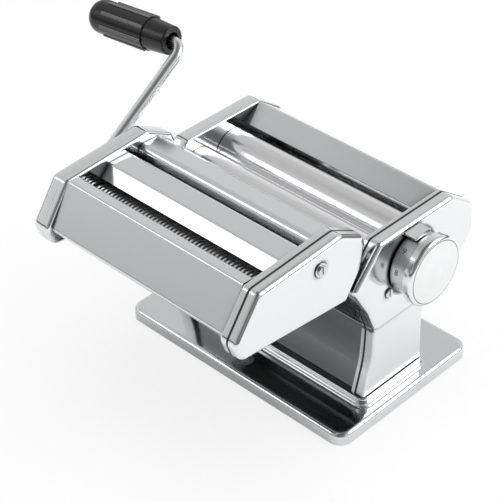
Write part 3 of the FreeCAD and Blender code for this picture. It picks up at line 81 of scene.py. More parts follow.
towards_lens = Vector((math.sin(azimuth) * math.cos(elevation), -math.cos(azimuth) * math.cos(elevation),
                       math.sin(elevation)))
level = Vector((math.cos(azimuth), math.sin(azimuth), 0.0))
upright = towards_lens.cross(level)
turned_level = level * math.cos(roll) + upright * math.sin(roll)
turned_upright = upright * math.cos(roll) - level * math.sin(roll)
bpy.ops.object.select_all(action="DESELECT")
bpy.ops.object.camera_add(location=looks_at + towards_lens * camera_distance)
camera = bpy.context.object
camera.rotation_euler = Matrix((turned_level, turned_upright, towards_lens)).transposed().to_euler()
camera.data.sensor_width = 36.0
camera.data.lens = focal_pixels / picture_pixels * camera.data.sensor_width
camera.data.shift_x = (picture_pixels / 2 - axis_pixel.x) / picture_pixels
camera.data.shift_y = (axis_pixel.y - picture_pixels / 2) / picture_pixels
camera.data.clip_start = 0.05
bpy.context.scene.camera = camera


# Floor: a wide sheet of pale paper under the machine, which runs out of the picture on every side.
# It takes the machine's shadow, and the polished steel mirrors it.
floor_side = 8.0
floor_drop = 0.0002
floor_colour = (0.90, 0.90, 0.90, 1.0)
paper_roughness = 0.9
paper_shine = 0.1
seen_glow = 0.82
mirrored_glow = 0.10


def add_node(tree, kind, values=None, **settings):
    """A node with its settings and the values of its named or numbered inputs."""
    made = tree.nodes.new(kind)
    for key, value in settings.items():
        setattr(made, key, value)
    for key, value in (values or {}).items():
        made.inputs[key].default_value = value
    return made


bpy.ops.mesh.primitive_plane_add(size=floor_side, location=(0.0, 0.0, -floor_drop))
floor = bpy.context.object
floor.name = "floor"
bpy.ops.object.transform_apply(location=True)
paper = bpy.data.materials.new("floor_paper")
paper.use_nodes = True
tree = paper.node_tree
surface = tree.nodes["Principled BSDF"]
surface.inputs["Base Color"].default_value = floor_colour
surface.inputs["Roughness"].default_value = paper_roughness
surface.inputs["Specular IOR Level"].default_value = paper_shine
glow = add_node(tree, "ShaderNodeEmission")
ray = add_node(tree, "ShaderNodeLightPath")
mirrored_share = add_node(tree, "ShaderNodeMath", {1: mirrored_glow}, operation="MULTIPLY")
tree.links.new(ray.outputs["Is Glossy Ray"], mirrored_share.inputs[0])
glow_share = add_node(tree, "ShaderNodeMath", {1: seen_glow}, operation="MULTIPLY_ADD")
tree.links.new(ray.outputs["Is Camera Ray"], glow_share.inputs[0])
tree.links.new(mirrored_share.outputs[0], glow_share.inputs[2])
blend = add_node(tree, "ShaderNodeMixShader")
tree.links.new(glow_share.outputs[0], blend.inputs[0])
tree.links.new(surface.outputs[0], blend.inputs[1])
tree.links.new(glow.outputs[0], blend.inputs[2])
tree.links.new(blend.outputs[0], tree.nodes["Material Output"].inputs["Surface"])
floor.data.materials.append(paper)


# Light: a studio tent, greyer towards the front, with a dark gap round its foot, a dark top and a dark
# opening for the lens, which draw lines on the polished folds. Two softboxes edge the folds with white,
# and a third, overhead, is not mirrored. The lens sees a white backdrop.
tent_stops = ((0.0, 0.12), (0.09, 0.12), (0.18, 0.92), (0.60, 0.65), (0.82, 0.58), (0.92, 0.22), (1.0, 0.12))
front_share = 0.62
front_from, front_to = -0.82, -0.55
lens_share = 0.25
lens_from, lens_to = 0.70, 0.97
backdrop_white = (1.0, 1.0, 1.0, 1.0)
softboxes = {"key": ((0.95, 0.80, 0.85), 0.8, 6.0), "fill": ((-1.23, -1.33, 1.32), 0.62, 1.7),
             "overhead": ((0.15, 0.10, 2.2), 2.0, 34.0)}


def set_stops(shade, stops):
    """Give a colour ramp its grey stops."""
    while len(shade.color_ramp.elements) < len(stops):
        shade.color_ramp.elements.new(0.5)
    for stop, (place, grey) in zip(shade.color_ramp.elements, stops):
        stop.position = place
        stop.color = (grey, grey, grey, 1.0)


tent = bpy.data.worlds.new("tent")
bpy.context.scene.world = tent
tent.use_nodes = True
tree = tent.node_tree
tent_light = tree.nodes["Background"]
heading = add_node(tree, "ShaderNodeTexCoord")
parts = add_node(tree, "ShaderNodeSeparateXYZ")
tree.links.new(heading.outputs["Generated"], parts.inputs[0])
shade = add_node(tree, "ShaderNodeValToRGB")
set_stops(shade, tent_stops)
tree.links.new(parts.outputs["Z"], shade.inputs[0])
tree.links.new(shade.outputs[0], tent_light.inputs["Color"])
frontness = add_node(tree, "ShaderNodeMapRange", {"From Min": front_from, "From Max": front_to,
                                                  "To Min": front_share})
tree.links.new(parts.outputs["Y"], frontness.inputs["Value"])
facing = add_node(tree, "ShaderNodeVectorMath", {1: towards_lens}, operation="DOT_PRODUCT")
tree.links.new(heading.outputs["Generated"], facing.inputs[0])
opening = add_node(tree, "ShaderNodeMapRange", {"From Min": lens_from, "From Max": lens_to, "To Min": 1.0,
                                                "To Max": lens_share}, interpolation_type="SMOOTHSTEP")
tree.links.new(facing.outputs["Value"], opening.inputs["Value"])
strength = add_node(tree, "ShaderNodeMath", operation="MULTIPLY")
tree.links.new(frontness.outputs[0], strength.inputs[0])
tree.links.new(opening.outputs[0], strength.inputs[1])
tree.links.new(strength.outputs[0], tent_light.inputs["Strength"])
backdrop = add_node(tree, "ShaderNodeBackground", {"Color": backdrop_white})
ray = add_node(tree, "ShaderNodeLightPath")
seen = add_node(tree, "ShaderNodeMixShader")
tree.links.new(ray.outputs["Is Camera Ray"], seen.inputs[0])
tree.links.new(tent_light.outputs[0], seen.inputs[1])
tree.links.new(backdrop.outputs[0], seen.inputs[2])
tree.links.new(seen.outputs[0], tree.nodes["World Output"].inputs["Surface"])
for name, (place, side, power) in softboxes.items():
    bpy.ops.object.light_add(type="AREA", location=place)
    softbox = bpy.context.object
    softbox.name = name
    softbox.data.size = side
    softbox.data.energy = power
    softbox.rotation_euler = (Vector(place) - looks_at).to_track_quat("Z", "Y").to_euler()
    softbox.visible_glossy = name != "overhead"


# Base: a tray pressed from one sheet of polished stainless steel, with a raised plinth for the body.
# The press leaves the sheet a little wavy, buffing leaves faint lines, and painted shade darkens its tight
# joints and creases.
base_tones = ((0.78, 0.79, 0.80, 1.0), (0.84, 0.845, 0.85, 1.0))
along_x = (30.0, 2500.0, 2500.0)
along_z = (2500.0, 2500.0, 30.0)
line_share = 0.4
line_depth = 0.00005
crease_shade_tone = (0.10, 0.10, 0.105, 1.0)
tight_crease_shade = {"Reach": 0.0018, "Shaded": 0.30, "Unshaded": 0.80}


def new_effect(name, inputs, outputs):
    """An empty node group with named sockets, for an effect that several finishes share."""
    effect = bpy.data.node_groups.new(name, "ShaderNodeTree")
    for socket, kind in inputs:
        effect.interface.new_socket(socket, in_out="INPUT", socket_type="NodeSocket" + kind)
    for socket in outputs:
        effect.interface.new_socket(socket, in_out="OUTPUT", socket_type="NodeSocketFloat")
    return effect, effect.nodes.new("NodeGroupInput"), effect.nodes.new("NodeGroupOutput")


def varied(effect, mask, spread, middle_value):
    """A value that a mask moves to both sides of its middle."""
    centred = add_node(effect, "ShaderNodeMath", {1: 0.5}, operation="SUBTRACT")
    effect.links.new(mask, centred.inputs[0])
    uneven = add_node(effect, "ShaderNodeMath", operation="MULTIPLY_ADD")
    effect.links.new(centred.outputs[0], uneven.inputs[0])
    effect.links.new(spread, uneven.inputs[1])
    effect.links.new(middle_value, uneven.inputs[2])
    return uneven.outputs[0]


buffing, into, out = new_effect("buffing", (("Vector", "Vector"), ("Stretch", "Vector"),
                                            ("Roughness", "Float"), ("Haze", "Float")),
                                ("Roughness", "Lines", "Swell", "Tone"))
haze = add_node(buffing, "ShaderNodeTexNoise", {"Scale": 24.0, "Detail": 4.0, "Roughness": 0.6})
buffing.links.new(into.outputs["Vector"], haze.inputs["Vector"])
drawn = add_node(buffing, "ShaderNodeVectorMath", operation="MULTIPLY")
buffing.links.new(into.outputs["Vector"], drawn.inputs[0])
buffing.links.new(into.outputs["Stretch"], drawn.inputs[1])
lines = add_node(buffing, "ShaderNodeTexNoise", {"Scale": 1.0, "Detail": 2.0})
buffing.links.new(drawn.outputs[0], lines.inputs["Vector"])
swell = add_node(buffing, "ShaderNodeTexNoise", {"Scale": 13.0, "Detail": 1.0})
buffing.links.new(into.outputs["Vector"], swell.inputs["Vector"])
streaked = add_node(buffing, "ShaderNodeMix", {0: line_share}, data_type="FLOAT")
buffing.links.new(haze.outputs["Fac"], streaked.inputs[2])
buffing.links.new(lines.outputs["Fac"], streaked.inputs[3])
hazy = varied(buffing, haze.outputs["Fac"], into.outputs["Haze"], into.outputs["Roughness"])
buffing.links.new(hazy, out.inputs["Roughness"])
buffing.links.new(lines.outputs["Fac"], out.inputs["Lines"])
buffing.links.new(swell.outputs["Fac"], out.inputs["Swell"])
buffing.links.new(streaked.outputs[0], out.inputs["Tone"])

# Painted shade: an occlusion mask that darkens the colour wherever other surfaces lie close, in creases and
# tight joints.
crease_shading, into, out = new_effect("painted_crease_shade", (("Reach", "Float"), ("Shaded", "Float"), ("Unshaded", "Float")),
                              ("Lit_share",))
open_share = add_node(crease_shading, "ShaderNodeAmbientOcclusion", samples=8)
crease_shading.links.new(into.outputs["Reach"], open_share.inputs["Distance"])
lit_share_range = add_node(crease_shading, "ShaderNodeMapRange")
crease_shading.links.new(into.outputs["Shaded"], lit_share_range.inputs["From Min"])
crease_shading.links.new(into.outputs["Unshaded"], lit_share_range.inputs["From Max"])
crease_shading.links.new(open_share.outputs["AO"], lit_share_range.inputs["Value"])
crease_shading.links.new(lit_share_range.outputs[0], out.inputs["Lit_share"])


def new_finish(name, tones):
    """A material whose colour runs between two tones by a mask, and the nodes that effects plug into."""
    finish = bpy.data.materials.new(name)
    finish.use_nodes = True
    tree = finish.node_tree
    surface = tree.nodes["Principled BSDF"]
    where = add_node(tree, "ShaderNodeTexCoord")
    mixed = add_node(tree, "ShaderNodeMix", {6: tones[0], 7: tones[1]}, data_type="RGBA")
    tree.links.new(mixed.outputs[2], surface.inputs["Base Color"])
    return finish, tree, surface, where.outputs["Object"], mixed.inputs[0]


def raised(tree, surface, height, strength, depth, over=None):
    """A bump of a height mask on the surface, over an earlier bump if there is one."""
    bump = add_node(tree, "ShaderNodeBump", {"Strength": strength, "Distance": depth})
    tree.links.new(height, bump.inputs["Height"])
    if over:
        tree.links.new(over.outputs["Normal"], bump.inputs["Normal"])
    tree.links.new(bump.outputs["Normal"], surface.inputs["Normal"])
    return bump


def polished(name, tones, roughness, haze, stretch, wave=0.0001, scratch=0.003, crease_shade=tight_crease_shade):
    """Buffed metal: hazy patches, fine lines along the rolling direction, a slow swell, and painted shade
    that darkens its creases and joints.
    """
    finish, tree, surface, where, mask = new_finish(name, tones)
    surface.inputs["Metallic"].default_value = 1.0
    effect = add_node(tree, "ShaderNodeGroup", node_tree=buffing)
    effect.inputs["Stretch"].default_value = stretch
    effect.inputs["Roughness"].default_value = roughness
    effect.inputs["Haze"].default_value = haze
    tree.links.new(where, effect.inputs["Vector"])
    tree.links.new(effect.outputs["Tone"], mask)
    tree.links.new(effect.outputs["Roughness"], surface.inputs["Roughness"])
    crease_shade_node = add_node(tree, "ShaderNodeGroup", node_tree=crease_shading)
    for socket, value in crease_shade.items():
        crease_shade_node.inputs[socket].default_value = value
    shaded_colour = add_node(tree, "ShaderNodeMix", {6: crease_shade_tone}, data_type="RGBA")
    tree.links.new(crease_shade_node.outputs["Lit_share"], shaded_colour.inputs[0])
    tree.links.new(mask.node.outputs[2], shaded_colour.inputs[7])
    tree.links.new(shaded_colour.outputs[2], surface.inputs["Base Color"])
    wavy = raised(tree, surface, effect.outputs["Swell"], 1.0, wave)
    raised(tree, surface, effect.outputs["Lines"], scratch, line_depth, over=wavy)
    return finish


def dress(finish, *names):
    """Give solids a finish."""
    for name in names:
        solids[name].material_slots[0].material = finish


dress(polished("base_steel", base_tones, roughness=0.10, haze=0.05, stretch=along_x), "base_plate")


# Underlay: a black rubber sheet with four moulded posts, on which the tray stands clear of the table.
# Rubber is matt, with a fine grain and dusty patches.
rubber_tones = ((0.012, 0.012, 0.012, 1.0), (0.040, 0.039, 0.038, 1.0))
pit_strength = 0.35

grain, into, out = new_effect("moulded_grain", (("Vector", "Vector"), ("Scale", "Float"),
                                                ("Roughness", "Float"), ("Spread", "Float")),
                              ("Roughness", "Pits", "Tone"))
patches = add_node(grain, "ShaderNodeTexNoise", {"Scale": 60.0, "Detail": 5.0, "Roughness": 0.65})
grain.links.new(into.outputs["Vector"], patches.inputs["Vector"])
pits = add_node(grain, "ShaderNodeTexNoise", {"Detail": 2.0})
grain.links.new(into.outputs["Vector"], pits.inputs["Vector"])
grain.links.new(into.outputs["Scale"], pits.inputs["Scale"])
patchy = varied(grain, patches.outputs["Fac"], into.outputs["Spread"], into.outputs["Roughness"])
grain.links.new(patchy, out.inputs["Roughness"])
grain.links.new(pits.outputs["Fac"], out.inputs["Pits"])
grain.links.new(patches.outputs["Fac"], out.inputs["Tone"])


def moulded(name, tones, roughness, spread, scale, depth):
    """Moulded plastic or rubber: a fine pitted grain with patches of gloss."""
    finish, tree, surface, where, mask = new_finish(name, tones)
    effect = add_node(tree, "ShaderNodeGroup", node_tree=grain)
    effect.inputs["Scale"].default_value = scale
    effect.inputs["Roughness"].default_value = roughness
    effect.inputs["Spread"].default_value = spread
    tree.links.new(where, effect.inputs["Vector"])
    tree.links.new(effect.outputs["Tone"], mask)
    tree.links.new(effect.outputs["Roughness"], surface.inputs["Roughness"])
    raised(tree, surface, effect.outputs["Pits"], pit_strength, depth)
    return finish


dress(moulded("underlay_rubber", rubber_tones, roughness=0.75, spread=0.2, scale=1400.0, depth=0.0002),
      "base_underlay")


# Clamp socket: a turned steel collar pressed into a hole in the deck of the tray.
# A lathe leaves fine rings round its own axis, which stands upright.
collar_tones = ((0.50, 0.51, 0.52, 1.0), (0.62, 0.63, 0.64, 1.0))
ring_strength = 0.25

lathe, into, out = new_effect("lathe_rings", (("Vector", "Vector"), ("Rings", "Float"),
                                              ("Roughness", "Float"), ("Spread", "Float")),
                              ("Roughness", "Rings", "Tone"))
split = add_node(lathe, "ShaderNodeSeparateXYZ")
lathe.links.new(into.outputs["Vector"], split.inputs[0])
across = add_node(lathe, "ShaderNodeCombineXYZ")
lathe.links.new(split.outputs["Y"], across.inputs["Y"])
lathe.links.new(split.outputs["Z"], across.inputs["Z"])
radius = add_node(lathe, "ShaderNodeVectorMath", operation="LENGTH")
lathe.links.new(across.outputs[0], radius.inputs[0])
profile = add_node(lathe, "ShaderNodeCombineXYZ")
lathe.links.new(split.outputs["X"], profile.inputs["X"])
lathe.links.new(radius.outputs["Value"], profile.inputs["Y"])
ridges = add_node(lathe, "ShaderNodeTexNoise", {"Detail": 3.0}, noise_dimensions="2D")
lathe.links.new(profile.outputs[0], ridges.inputs["Vector"])
lathe.links.new(into.outputs["Rings"], ridges.inputs["Scale"])
ringed = varied(lathe, ridges.outputs["Fac"], into.outputs["Spread"], into.outputs["Roughness"])
lathe.links.new(ringed, out.inputs["Roughness"])
lathe.links.new(ridges.outputs["Fac"], out.inputs["Rings"])
lathe.links.new(ridges.outputs["Fac"], out.inputs["Tone"])


def lathed(name, tones, roughness, spread, axis_y, axis_z, rings=1800.0, depth=0.00003, vertical=False):
    """Turned metal, with rings round a line along X through (y, z), or round a vertical one."""
    finish, tree, surface, where, mask = new_finish(name, tones)
    surface.inputs["Metallic"].default_value = 1.0
    turned = add_node(tree, "ShaderNodeMapping", {"Location": (0.0, -axis_y, -axis_z)})
    tree.links.new(where, turned.inputs["Vector"])
    if vertical:
        centred = turned
        turned = add_node(tree, "ShaderNodeMapping", {"Rotation": (0.0, math.radians(90.0), 0.0)})
        tree.links.new(centred.outputs[0], turned.inputs["Vector"])
    effect = add_node(tree, "ShaderNodeGroup", node_tree=lathe)
    effect.inputs["Rings"].default_value = rings
    effect.inputs["Roughness"].default_value = roughness
    effect.inputs["Spread"].default_value = spread
    tree.links.new(turned.outputs[0], effect.inputs["Vector"])
    tree.links.new(effect.outputs["Tone"], mask)
    tree.links.new(effect.outputs["Roughness"], surface.inputs["Roughness"])
    raised(tree, surface, effect.outputs["Rings"], ring_strength, depth)
    return finish


def middle(name):
    """The middle of a solid's box."""
    low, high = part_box(name)
    return (low + high) / 2


collar_steel = lathed("collar_steel", collar_tones, roughness=0.30, spread=0.15,
                      axis_y=middle("clamp_socket").y, axis_z=0.0, vertical=True)
dress(collar_steel, "clamp_socket")


# Side frames: two thick plates blanked from polished stainless sheet, with rounded inner edges.
# They carry the bearings, and their slotted tongues hold the cutter head.
frame_tones = ((0.77, 0.78, 0.79, 1.0), (0.83, 0.835, 0.84, 1.0))

frame_steel = polished("frame_steel", frame_tones, roughness=0.09, haze=0.05, stretch=along_z)
dress(frame_steel, "side_frame_left", "side_frame_right")


# Side covers: deep-drawn shells of polished stainless steel over the gears and the regulator.
# Each is held by one screw, and a step marks where the head stands proud of the foot.
cover_tones = ((0.80, 0.81, 0.82, 1.0), (0.86, 0.865, 0.87, 1.0))
# Painted shade: the covers darken where other parts lie within 4 mm, along the step, round the screw and
# round the knob.
cover_crease_shade = {"Reach": 0.004, "Shaded": 0.80, "Unshaded": 0.985}

cover_steel = polished("cover_steel", cover_tones, roughness=0.13, haze=0.05, stretch=along_z,
                       crease_shade=cover_crease_shade)
dress(cover_steel, "side_cover_left", "side_cover_right")


# Edge beads: a thin bead in the joint between each cover and the plate behind it, a hair proud of the steel.
# On the right it is matt black, a painted shadow of the joint's gap that reads as one dark line.
# On the left it is steel, and the joint is blind.
bead_width = 0.00145
bead_lap = 0.0009
bead_proud = 0.00005
bead_depth = 0.0005
bead_crease = math.radians(40.0)
shadow_line_tones = ((0.010, 0.010, 0.010, 1.0), (0.030, 0.030, 0.030, 1.0))


def loosened(name, node):
    """A new piece with a copy of a solid's mesh, its triangles joined up, left in edit mode."""
    bpy.ops.object.select_all(action="DESELECT")
    piece = bpy.data.objects.new(name, solids[node].data.copy())
    bpy.context.scene.collection.objects.link(piece)
    bpy.context.view_layer.objects.active = piece
    piece.select_set(True)
    bpy.ops.object.mode_set(mode="EDIT")
    bpy.ops.mesh.select_all(action="SELECT")
    bpy.ops.mesh.remove_doubles(threshold=1e-6)
    return piece


def edge_bead(name, cover, body, finish):
    """A bead round the open edge of a drawn cover, from the outline of the cover just above that edge."""
    low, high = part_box(cover)
    outwards = 1.0 if low.x > 0 else -1.0
    open_edge = low.x if low.x > 0 else high.x
    loosened(name, cover)
    bpy.ops.mesh.bisect(plane_co=(open_edge + outwards * bead_lap, 0.0, 0.0), plane_no=(1.0, 0.0, 0.0),
                        clear_inner=True, clear_outer=True)
    bpy.ops.mesh.separate(type="LOOSE")
    bpy.ops.object.mode_set(mode="OBJECT")
    bpy.context.view_layer.update()
    outlines = sorted(bpy.context.selected_objects,
                      key=lambda outline: outline.dimensions.y * outline.dimensions.z)
    bead = outlines.pop()
    for inner in outlines:
        bpy.data.objects.remove(inner)
    bead.name = name
    bpy.context.view_layer.objects.active = bead
    bead.select_set(True)
    bpy.ops.object.mode_set(mode="EDIT")
    bpy.ops.mesh.select_all(action="SELECT")
    bpy.ops.mesh.extrude_region_move(TRANSFORM_OT_translate={"value": (-outwards * bead_width, 0.0, 0.0)})
    bpy.ops.mesh.select_all(action="SELECT")
    bpy.ops.mesh.normals_make_consistent(inside=False)
    bpy.ops.object.mode_set(mode="OBJECT")
    wall = bead.modifiers.new("wall", "SOLIDIFY")
    wall.thickness = bead_proud + bead_depth
    wall.offset = 2 * bead_proud / wall.thickness - 1
    bpy.ops.object.modifier_apply(modifier=wall.name)
    for corner in bead.data.vertices:
        corner.co.y = min(max(corner.co.y, cad_box[0][1]), cad_box[1][1])
    bpy.ops.object.shade_smooth_by_angle(angle=bead_crease)
    bead.data.materials.clear()
    bead.data.materials.append(finish)
    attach(bead, body)


# Painted shadow: the black strip stands for the shadow in the gap of the joint.
joint_shadow_black = moulded("joint_shadow_black", shadow_line_tones, roughness=0.5, spread=0.2, scale=1800.0, depth=0.00003)
edge_bead("side_cover_bead_right", "side_cover_right", "machine_body", joint_shadow_black)
edge_bead("side_cover_bead_left", "side_cover_left", "machine_body", cover_steel)


# Cover posts and screws: steel posts drawn as bar and fixed to the frames, and one screw through each cover.
# The screws are zinc-plated, with one slot, and their plating is finely grained.
post_tones = ((0.66, 0.67, 0.68, 1.0), (0.74, 0.75, 0.76, 1.0))
screw_tones = ((0.60, 0.61, 0.62, 1.0), (0.74, 0.75, 0.76, 1.0))
plating_grain = (900.0, 900.0, 900.0)

post_steel = polished("post_steel", post_tones, roughness=0.22, haze=0.08, stretch=along_x)
screw_zinc = polished("screw_zinc", screw_tones, roughness=0.20, haze=0.12, stretch=plating_grain,
                      scratch=0.12)
dress(post_steel, "cover_posts")
dress(screw_zinc, "cover_screws")


# Sheet panels: thin polished sheet bent round the front, the hopper lip and back, and the chute below.
# The front gets a darker tone than the other sheets, as painted shade for the dark surroundings it mirrors,
# and the chute is plain mill sheet, because it is out of sight.
panel_tones = ((0.76, 0.77, 0.78, 1.0), (0.82, 0.825, 0.83, 1.0))
front_shade_tones = ((0.19, 0.195, 0.20, 1.0), (0.24, 0.245, 0.25, 1.0))
chute_tones = ((0.60, 0.61, 0.62, 1.0), (0.70, 0.71, 0.72, 1.0))
# Painted shade: the hopper sheet darkens where other parts lie within 12 mm, most of all down towards the
# rollers.
hopper_crease_shade = {"Reach": 0.012, "Shaded": 0.70, "Unshaded": 0.92}

hopper_steel = polished("hopper_steel", panel_tones, roughness=0.09, haze=0.05, stretch=along_x,
                        crease_shade=hopper_crease_shade)
front_shaded_steel = polished("front_shaded_steel", front_shade_tones, roughness=0.10, haze=0.05, stretch=along_x)
chute_steel = polished("chute_steel", chute_tones, roughness=0.28, haze=0.10, stretch=along_x, scratch=0.15)
dress(hopper_steel, "hopper_plate")
dress(front_shaded_steel, "front_panel")
dress(chute_steel, "chute_panel")


# Tie rods: bright drawn bars with turned ends that hold the two frames apart.
# Drawing leaves lines along the bar.
rod_tones = ((0.70, 0.71, 0.72, 1.0), (0.80, 0.81, 0.82, 1.0))

rod_steel = polished("rod_steel", rod_tones, roughness=0.16, haze=0.06, stretch=along_x)
dress(rod_steel, "frame_tie_rods")


# Bushes and scrapers: natural nylon bearings for the driven roller, pressed into the frames,
# and two black moulded strips that wipe the undersides of the rollers.
nylon_tones = ((0.74, 0.72, 0.64, 1.0), (0.84, 0.82, 0.75, 1.0))
scraper_tones = ((0.020, 0.020, 0.022, 1.0), (0.045, 0.045, 0.047, 1.0))

nylon = moulded("bush_nylon", nylon_tones, roughness=0.45, spread=0.2, scale=900.0, depth=0.0001)
scraper_plastic = moulded("scraper_plastic", scraper_tones, roughness=0.45, spread=0.2, scale=1100.0,
                          depth=0.0001)
dress(nylon, "drive_bushes")
dress(scraper_plastic, "scraper_front", "scraper_rear")


# Smooth rollers: ground and chromed steel, the front one driven and the rear one in the carriage.
# Grinding leaves fine rings round each.
roller_tones = ((0.80, 0.80, 0.81, 1.0), (0.87, 0.87, 0.88, 1.0))

for name in ("drive_roller", "pressure_roller"):
    axle = middle(name)
    dress(lathed(name + "_chrome", roller_tones, roughness=0.17, spread=0.05, axis_y=axle.y, axis_z=axle.z,
                 rings=900.0, depth=0.000008), name)


# Roller gears and carriage: sintered steel, dull and faintly pitted, for the gears behind the left cover
# and the two bearing blocks. The bar between the blocks is drawn.
sinter_tones = ((0.40, 0.40, 0.41, 1.0), (0.52, 0.52, 0.53, 1.0))

gear_steel = moulded("gear_steel", sinter_tones, roughness=0.42, spread=0.2, scale=2200.0, depth=0.00008)
gear_steel.node_tree.nodes["Principled BSDF"].inputs["Metallic"].default_value = 1.0
dress(gear_steel, "drive_gear", "pressure_gear", "carriage_block_left", "carriage_block_right")
dress(rod_steel, "carriage_bar")


# Regulator: a turned spindle with a pressed-on spiral cam, a nut on its end, a coiled spring
# behind the nut, and the click pin that holds the knob's setting.
spindle_tones = ((0.64, 0.65, 0.66, 1.0), (0.76, 0.77, 0.78, 1.0))
spring_tones = ((0.46, 0.47, 0.48, 1.0), (0.58, 0.59, 0.60, 1.0))
wire_grain = (300.0, 300.0, 300.0)
wire_crease = math.radians(50.0)

spindle = middle("regulator_spindle")
spindle_steel = lathed("spindle_steel", spindle_tones, roughness=0.22, spread=0.10, axis_y=spindle.y,
                       axis_z=spindle.z)
dress(spindle_steel, "regulator_spindle", "regulator_nut")
dress(gear_steel, "regulator_cam")
dress(rod_steel, "index_pin")

coil = loosened("spring_coil", "knob_spring")
bpy.ops.object.mode_set(mode="OBJECT")
bpy.ops.object.shade_smooth_by_angle(angle=wire_crease)
coil.data.materials.clear()
spring_wire = polished("spring_wire", spring_tones, roughness=0.25, haze=0.10, stretch=wire_grain)
coil.data.materials.append(spring_wire)
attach(coil, "regulator")
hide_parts("knob_spring")
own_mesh(coil)


# Knob: a turned drum with a domed cap pressed over it, both bright metal with fine lathe rings, and a small
# polished pointer on the cover above the drum. The drum is given a darker tone than the cap as painted shade,
# and a thin ring of painted shade is drawn where the cap's rim meets its dome.
knob_tones = ((0.80, 0.805, 0.81, 1.0), (0.88, 0.885, 0.89, 1.0))
drum_shade_tones = ((0.62, 0.625, 0.63, 1.0), (0.72, 0.725, 0.73, 1.0))
rim_shade_tone = (0.22, 0.22, 0.225, 1.0)
rim_radius = 0.0209
rim_half = 0.0003


def axis_distance(tree, point, axis):
    """How far each place on a piece lies from the line that the piece turns round."""
    where = add_node(tree, "ShaderNodeTexCoord")
    reach = add_node(tree, "ShaderNodeVectorMath", {1: point}, operation="SUBTRACT")
    tree.links.new(where.outputs["Object"], reach.inputs[0])
    aside = add_node(tree, "ShaderNodeVectorMath", {1: axis}, operation="CROSS_PRODUCT")
    tree.links.new(reach.outputs[0], aside.inputs[0])
    distance = add_node(tree, "ShaderNodeVectorMath", operation="LENGTH")
    tree.links.new(aside.outputs[0], distance.inputs[0])
    return distance.outputs["Value"]


def overlaid(finish, tone, share):
    """Lay one more tone over the colour of a finish, by a mask."""
    tree = finish.node_tree
    colour = tree.nodes["Principled BSDF"].inputs["Base Color"]
    over = add_node(tree, "ShaderNodeMix", {7: tone}, data_type="RGBA")
    tree.links.new(colour.links[0].from_socket, over.inputs[6])
    tree.links.new(share, over.inputs[0])
    tree.links.new(over.outputs[2], colour)


drum_shaded_steel = lathed("drum_shaded_steel", drum_shade_tones, roughness=0.36, spread=0.10, axis_y=spindle.y, axis_z=spindle.z,
                    depth=0.00002)
cap_steel = lathed("cap_steel", knob_tones, roughness=0.14, spread=0.08, axis_y=spindle.y, axis_z=spindle.z,
                   rings=1500.0, depth=0.00002)
tree = cap_steel.node_tree
# Painted shade: a thin dark ring on the cap where its rim meets the dome.
rim = add_node(tree, "ShaderNodeMath", {1: rim_radius, 2: rim_half}, operation="COMPARE")
tree.links.new(axis_distance(tree, spindle, (1.0, 0.0, 0.0)), rim.inputs[0])
overlaid(cap_steel, rim_shade_tone, rim.outputs[0])
dress(drum_shaded_steel, "knob_drum")
dress(cap_steel, "knob_cap")
dress(polished("pointer_steel", knob_tones, roughness=0.12, haze=0.06, stretch=along_x), "index_pointer")


# Dial numbers: small black figures printed round the drum, one for each click of the knob.
# The ink lies on the metal in a film, and wear has thinned it here and there.
figure_size = 0.0052
figure_x = 0.0934
figure_count = 9
ink_thickness = 0.00006
ink_tones = ((0.015, 0.015, 0.015, 1.0), (0.05, 0.05, 0.05, 1.0))

drum_low, drum_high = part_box("knob_drum")
drum_radius = (drum_high.z - drum_low.z) / 2
figures = []
for click in range(figure_count):
    bpy.ops.object.select_all(action="DESELECT")
    bpy.ops.object.text_add()
    figure = bpy.context.object
    figure.data.body = str(click + 1)
    figure.data.size = figure_size
    figure.data.align_x = "CENTER"
    figure.data.align_y = "CENTER"
    bpy.ops.object.convert(target="MESH")
    turn = -click * math.tau / figure_count
    figure.rotation_euler.x = turn
    figure.location = (figure_x, spindle.y - drum_radius * math.sin(turn),
                       spindle.z + drum_radius * math.cos(turn))
    bpy.ops.object.transform_apply(location=True, rotation=True, scale=True)
    wrap = figure.modifiers.new("wrap", "SHRINKWRAP")
    wrap.target = solids["knob_drum"]
    wrap.offset = ink_thickness / 2
    bpy.ops.object.modifier_apply(modifier=wrap.name)
    film = figure.modifiers.new("film", "SOLIDIFY")
    film.thickness = ink_thickness
    film.offset = 1.0
    bpy.ops.object.modifier_apply(modifier=film.name)
    figures.append(figure)
for figure in figures:
    figure.select_set(True)
bpy.ops.object.join()
numbers = bpy.context.object
numbers.name = "dial_numbers"
numbers.data.materials.clear()
dial_ink = moulded("dial_ink", ink_tones, roughness=0.5, spread=0.2, scale=2500.0, depth=0.00002)
numbers.data.materials.append(dial_ink)
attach(numbers, "knob")


# Cutter head: two drawn end plates that carry the cutting rollers, closed by deep-drawn covers.
# All four are polished stainless steel with soft edges, and beads close their joints.
plate_tones = ((0.78, 0.79, 0.80, 1.0), (0.84, 0.845, 0.85, 1.0))

plate_steel = polished("plate_steel", plate_tones, roughness=0.09, haze=0.05, stretch=along_z)
dress(plate_steel, "cutter_plate_left", "cutter_plate_right")
# The cutter covers get the same painted shade as the side covers.
hood_steel = polished("hood_steel", cover_tones, roughness=0.13, haze=0.05, stretch=along_z, crease_shade=cover_crease_shade)
dress(hood_steel, "cutter_cover_left", "cutter_cover_right")
edge_bead("cutter_cover_bead_right", "cutter_cover_right", "cutter_head", joint_shadow_black)
edge_bead("cutter_cover_bead_left", "cutter_cover_left", "cutter_head", hood_steel)


# Cutter sheets: the bare front guide, the divider between the two slots and the apron at the back,
# bent from satin-buffed sheet.
guide_tones = ((0.76, 0.77, 0.78, 1.0), (0.82, 0.825, 0.83, 1.0))
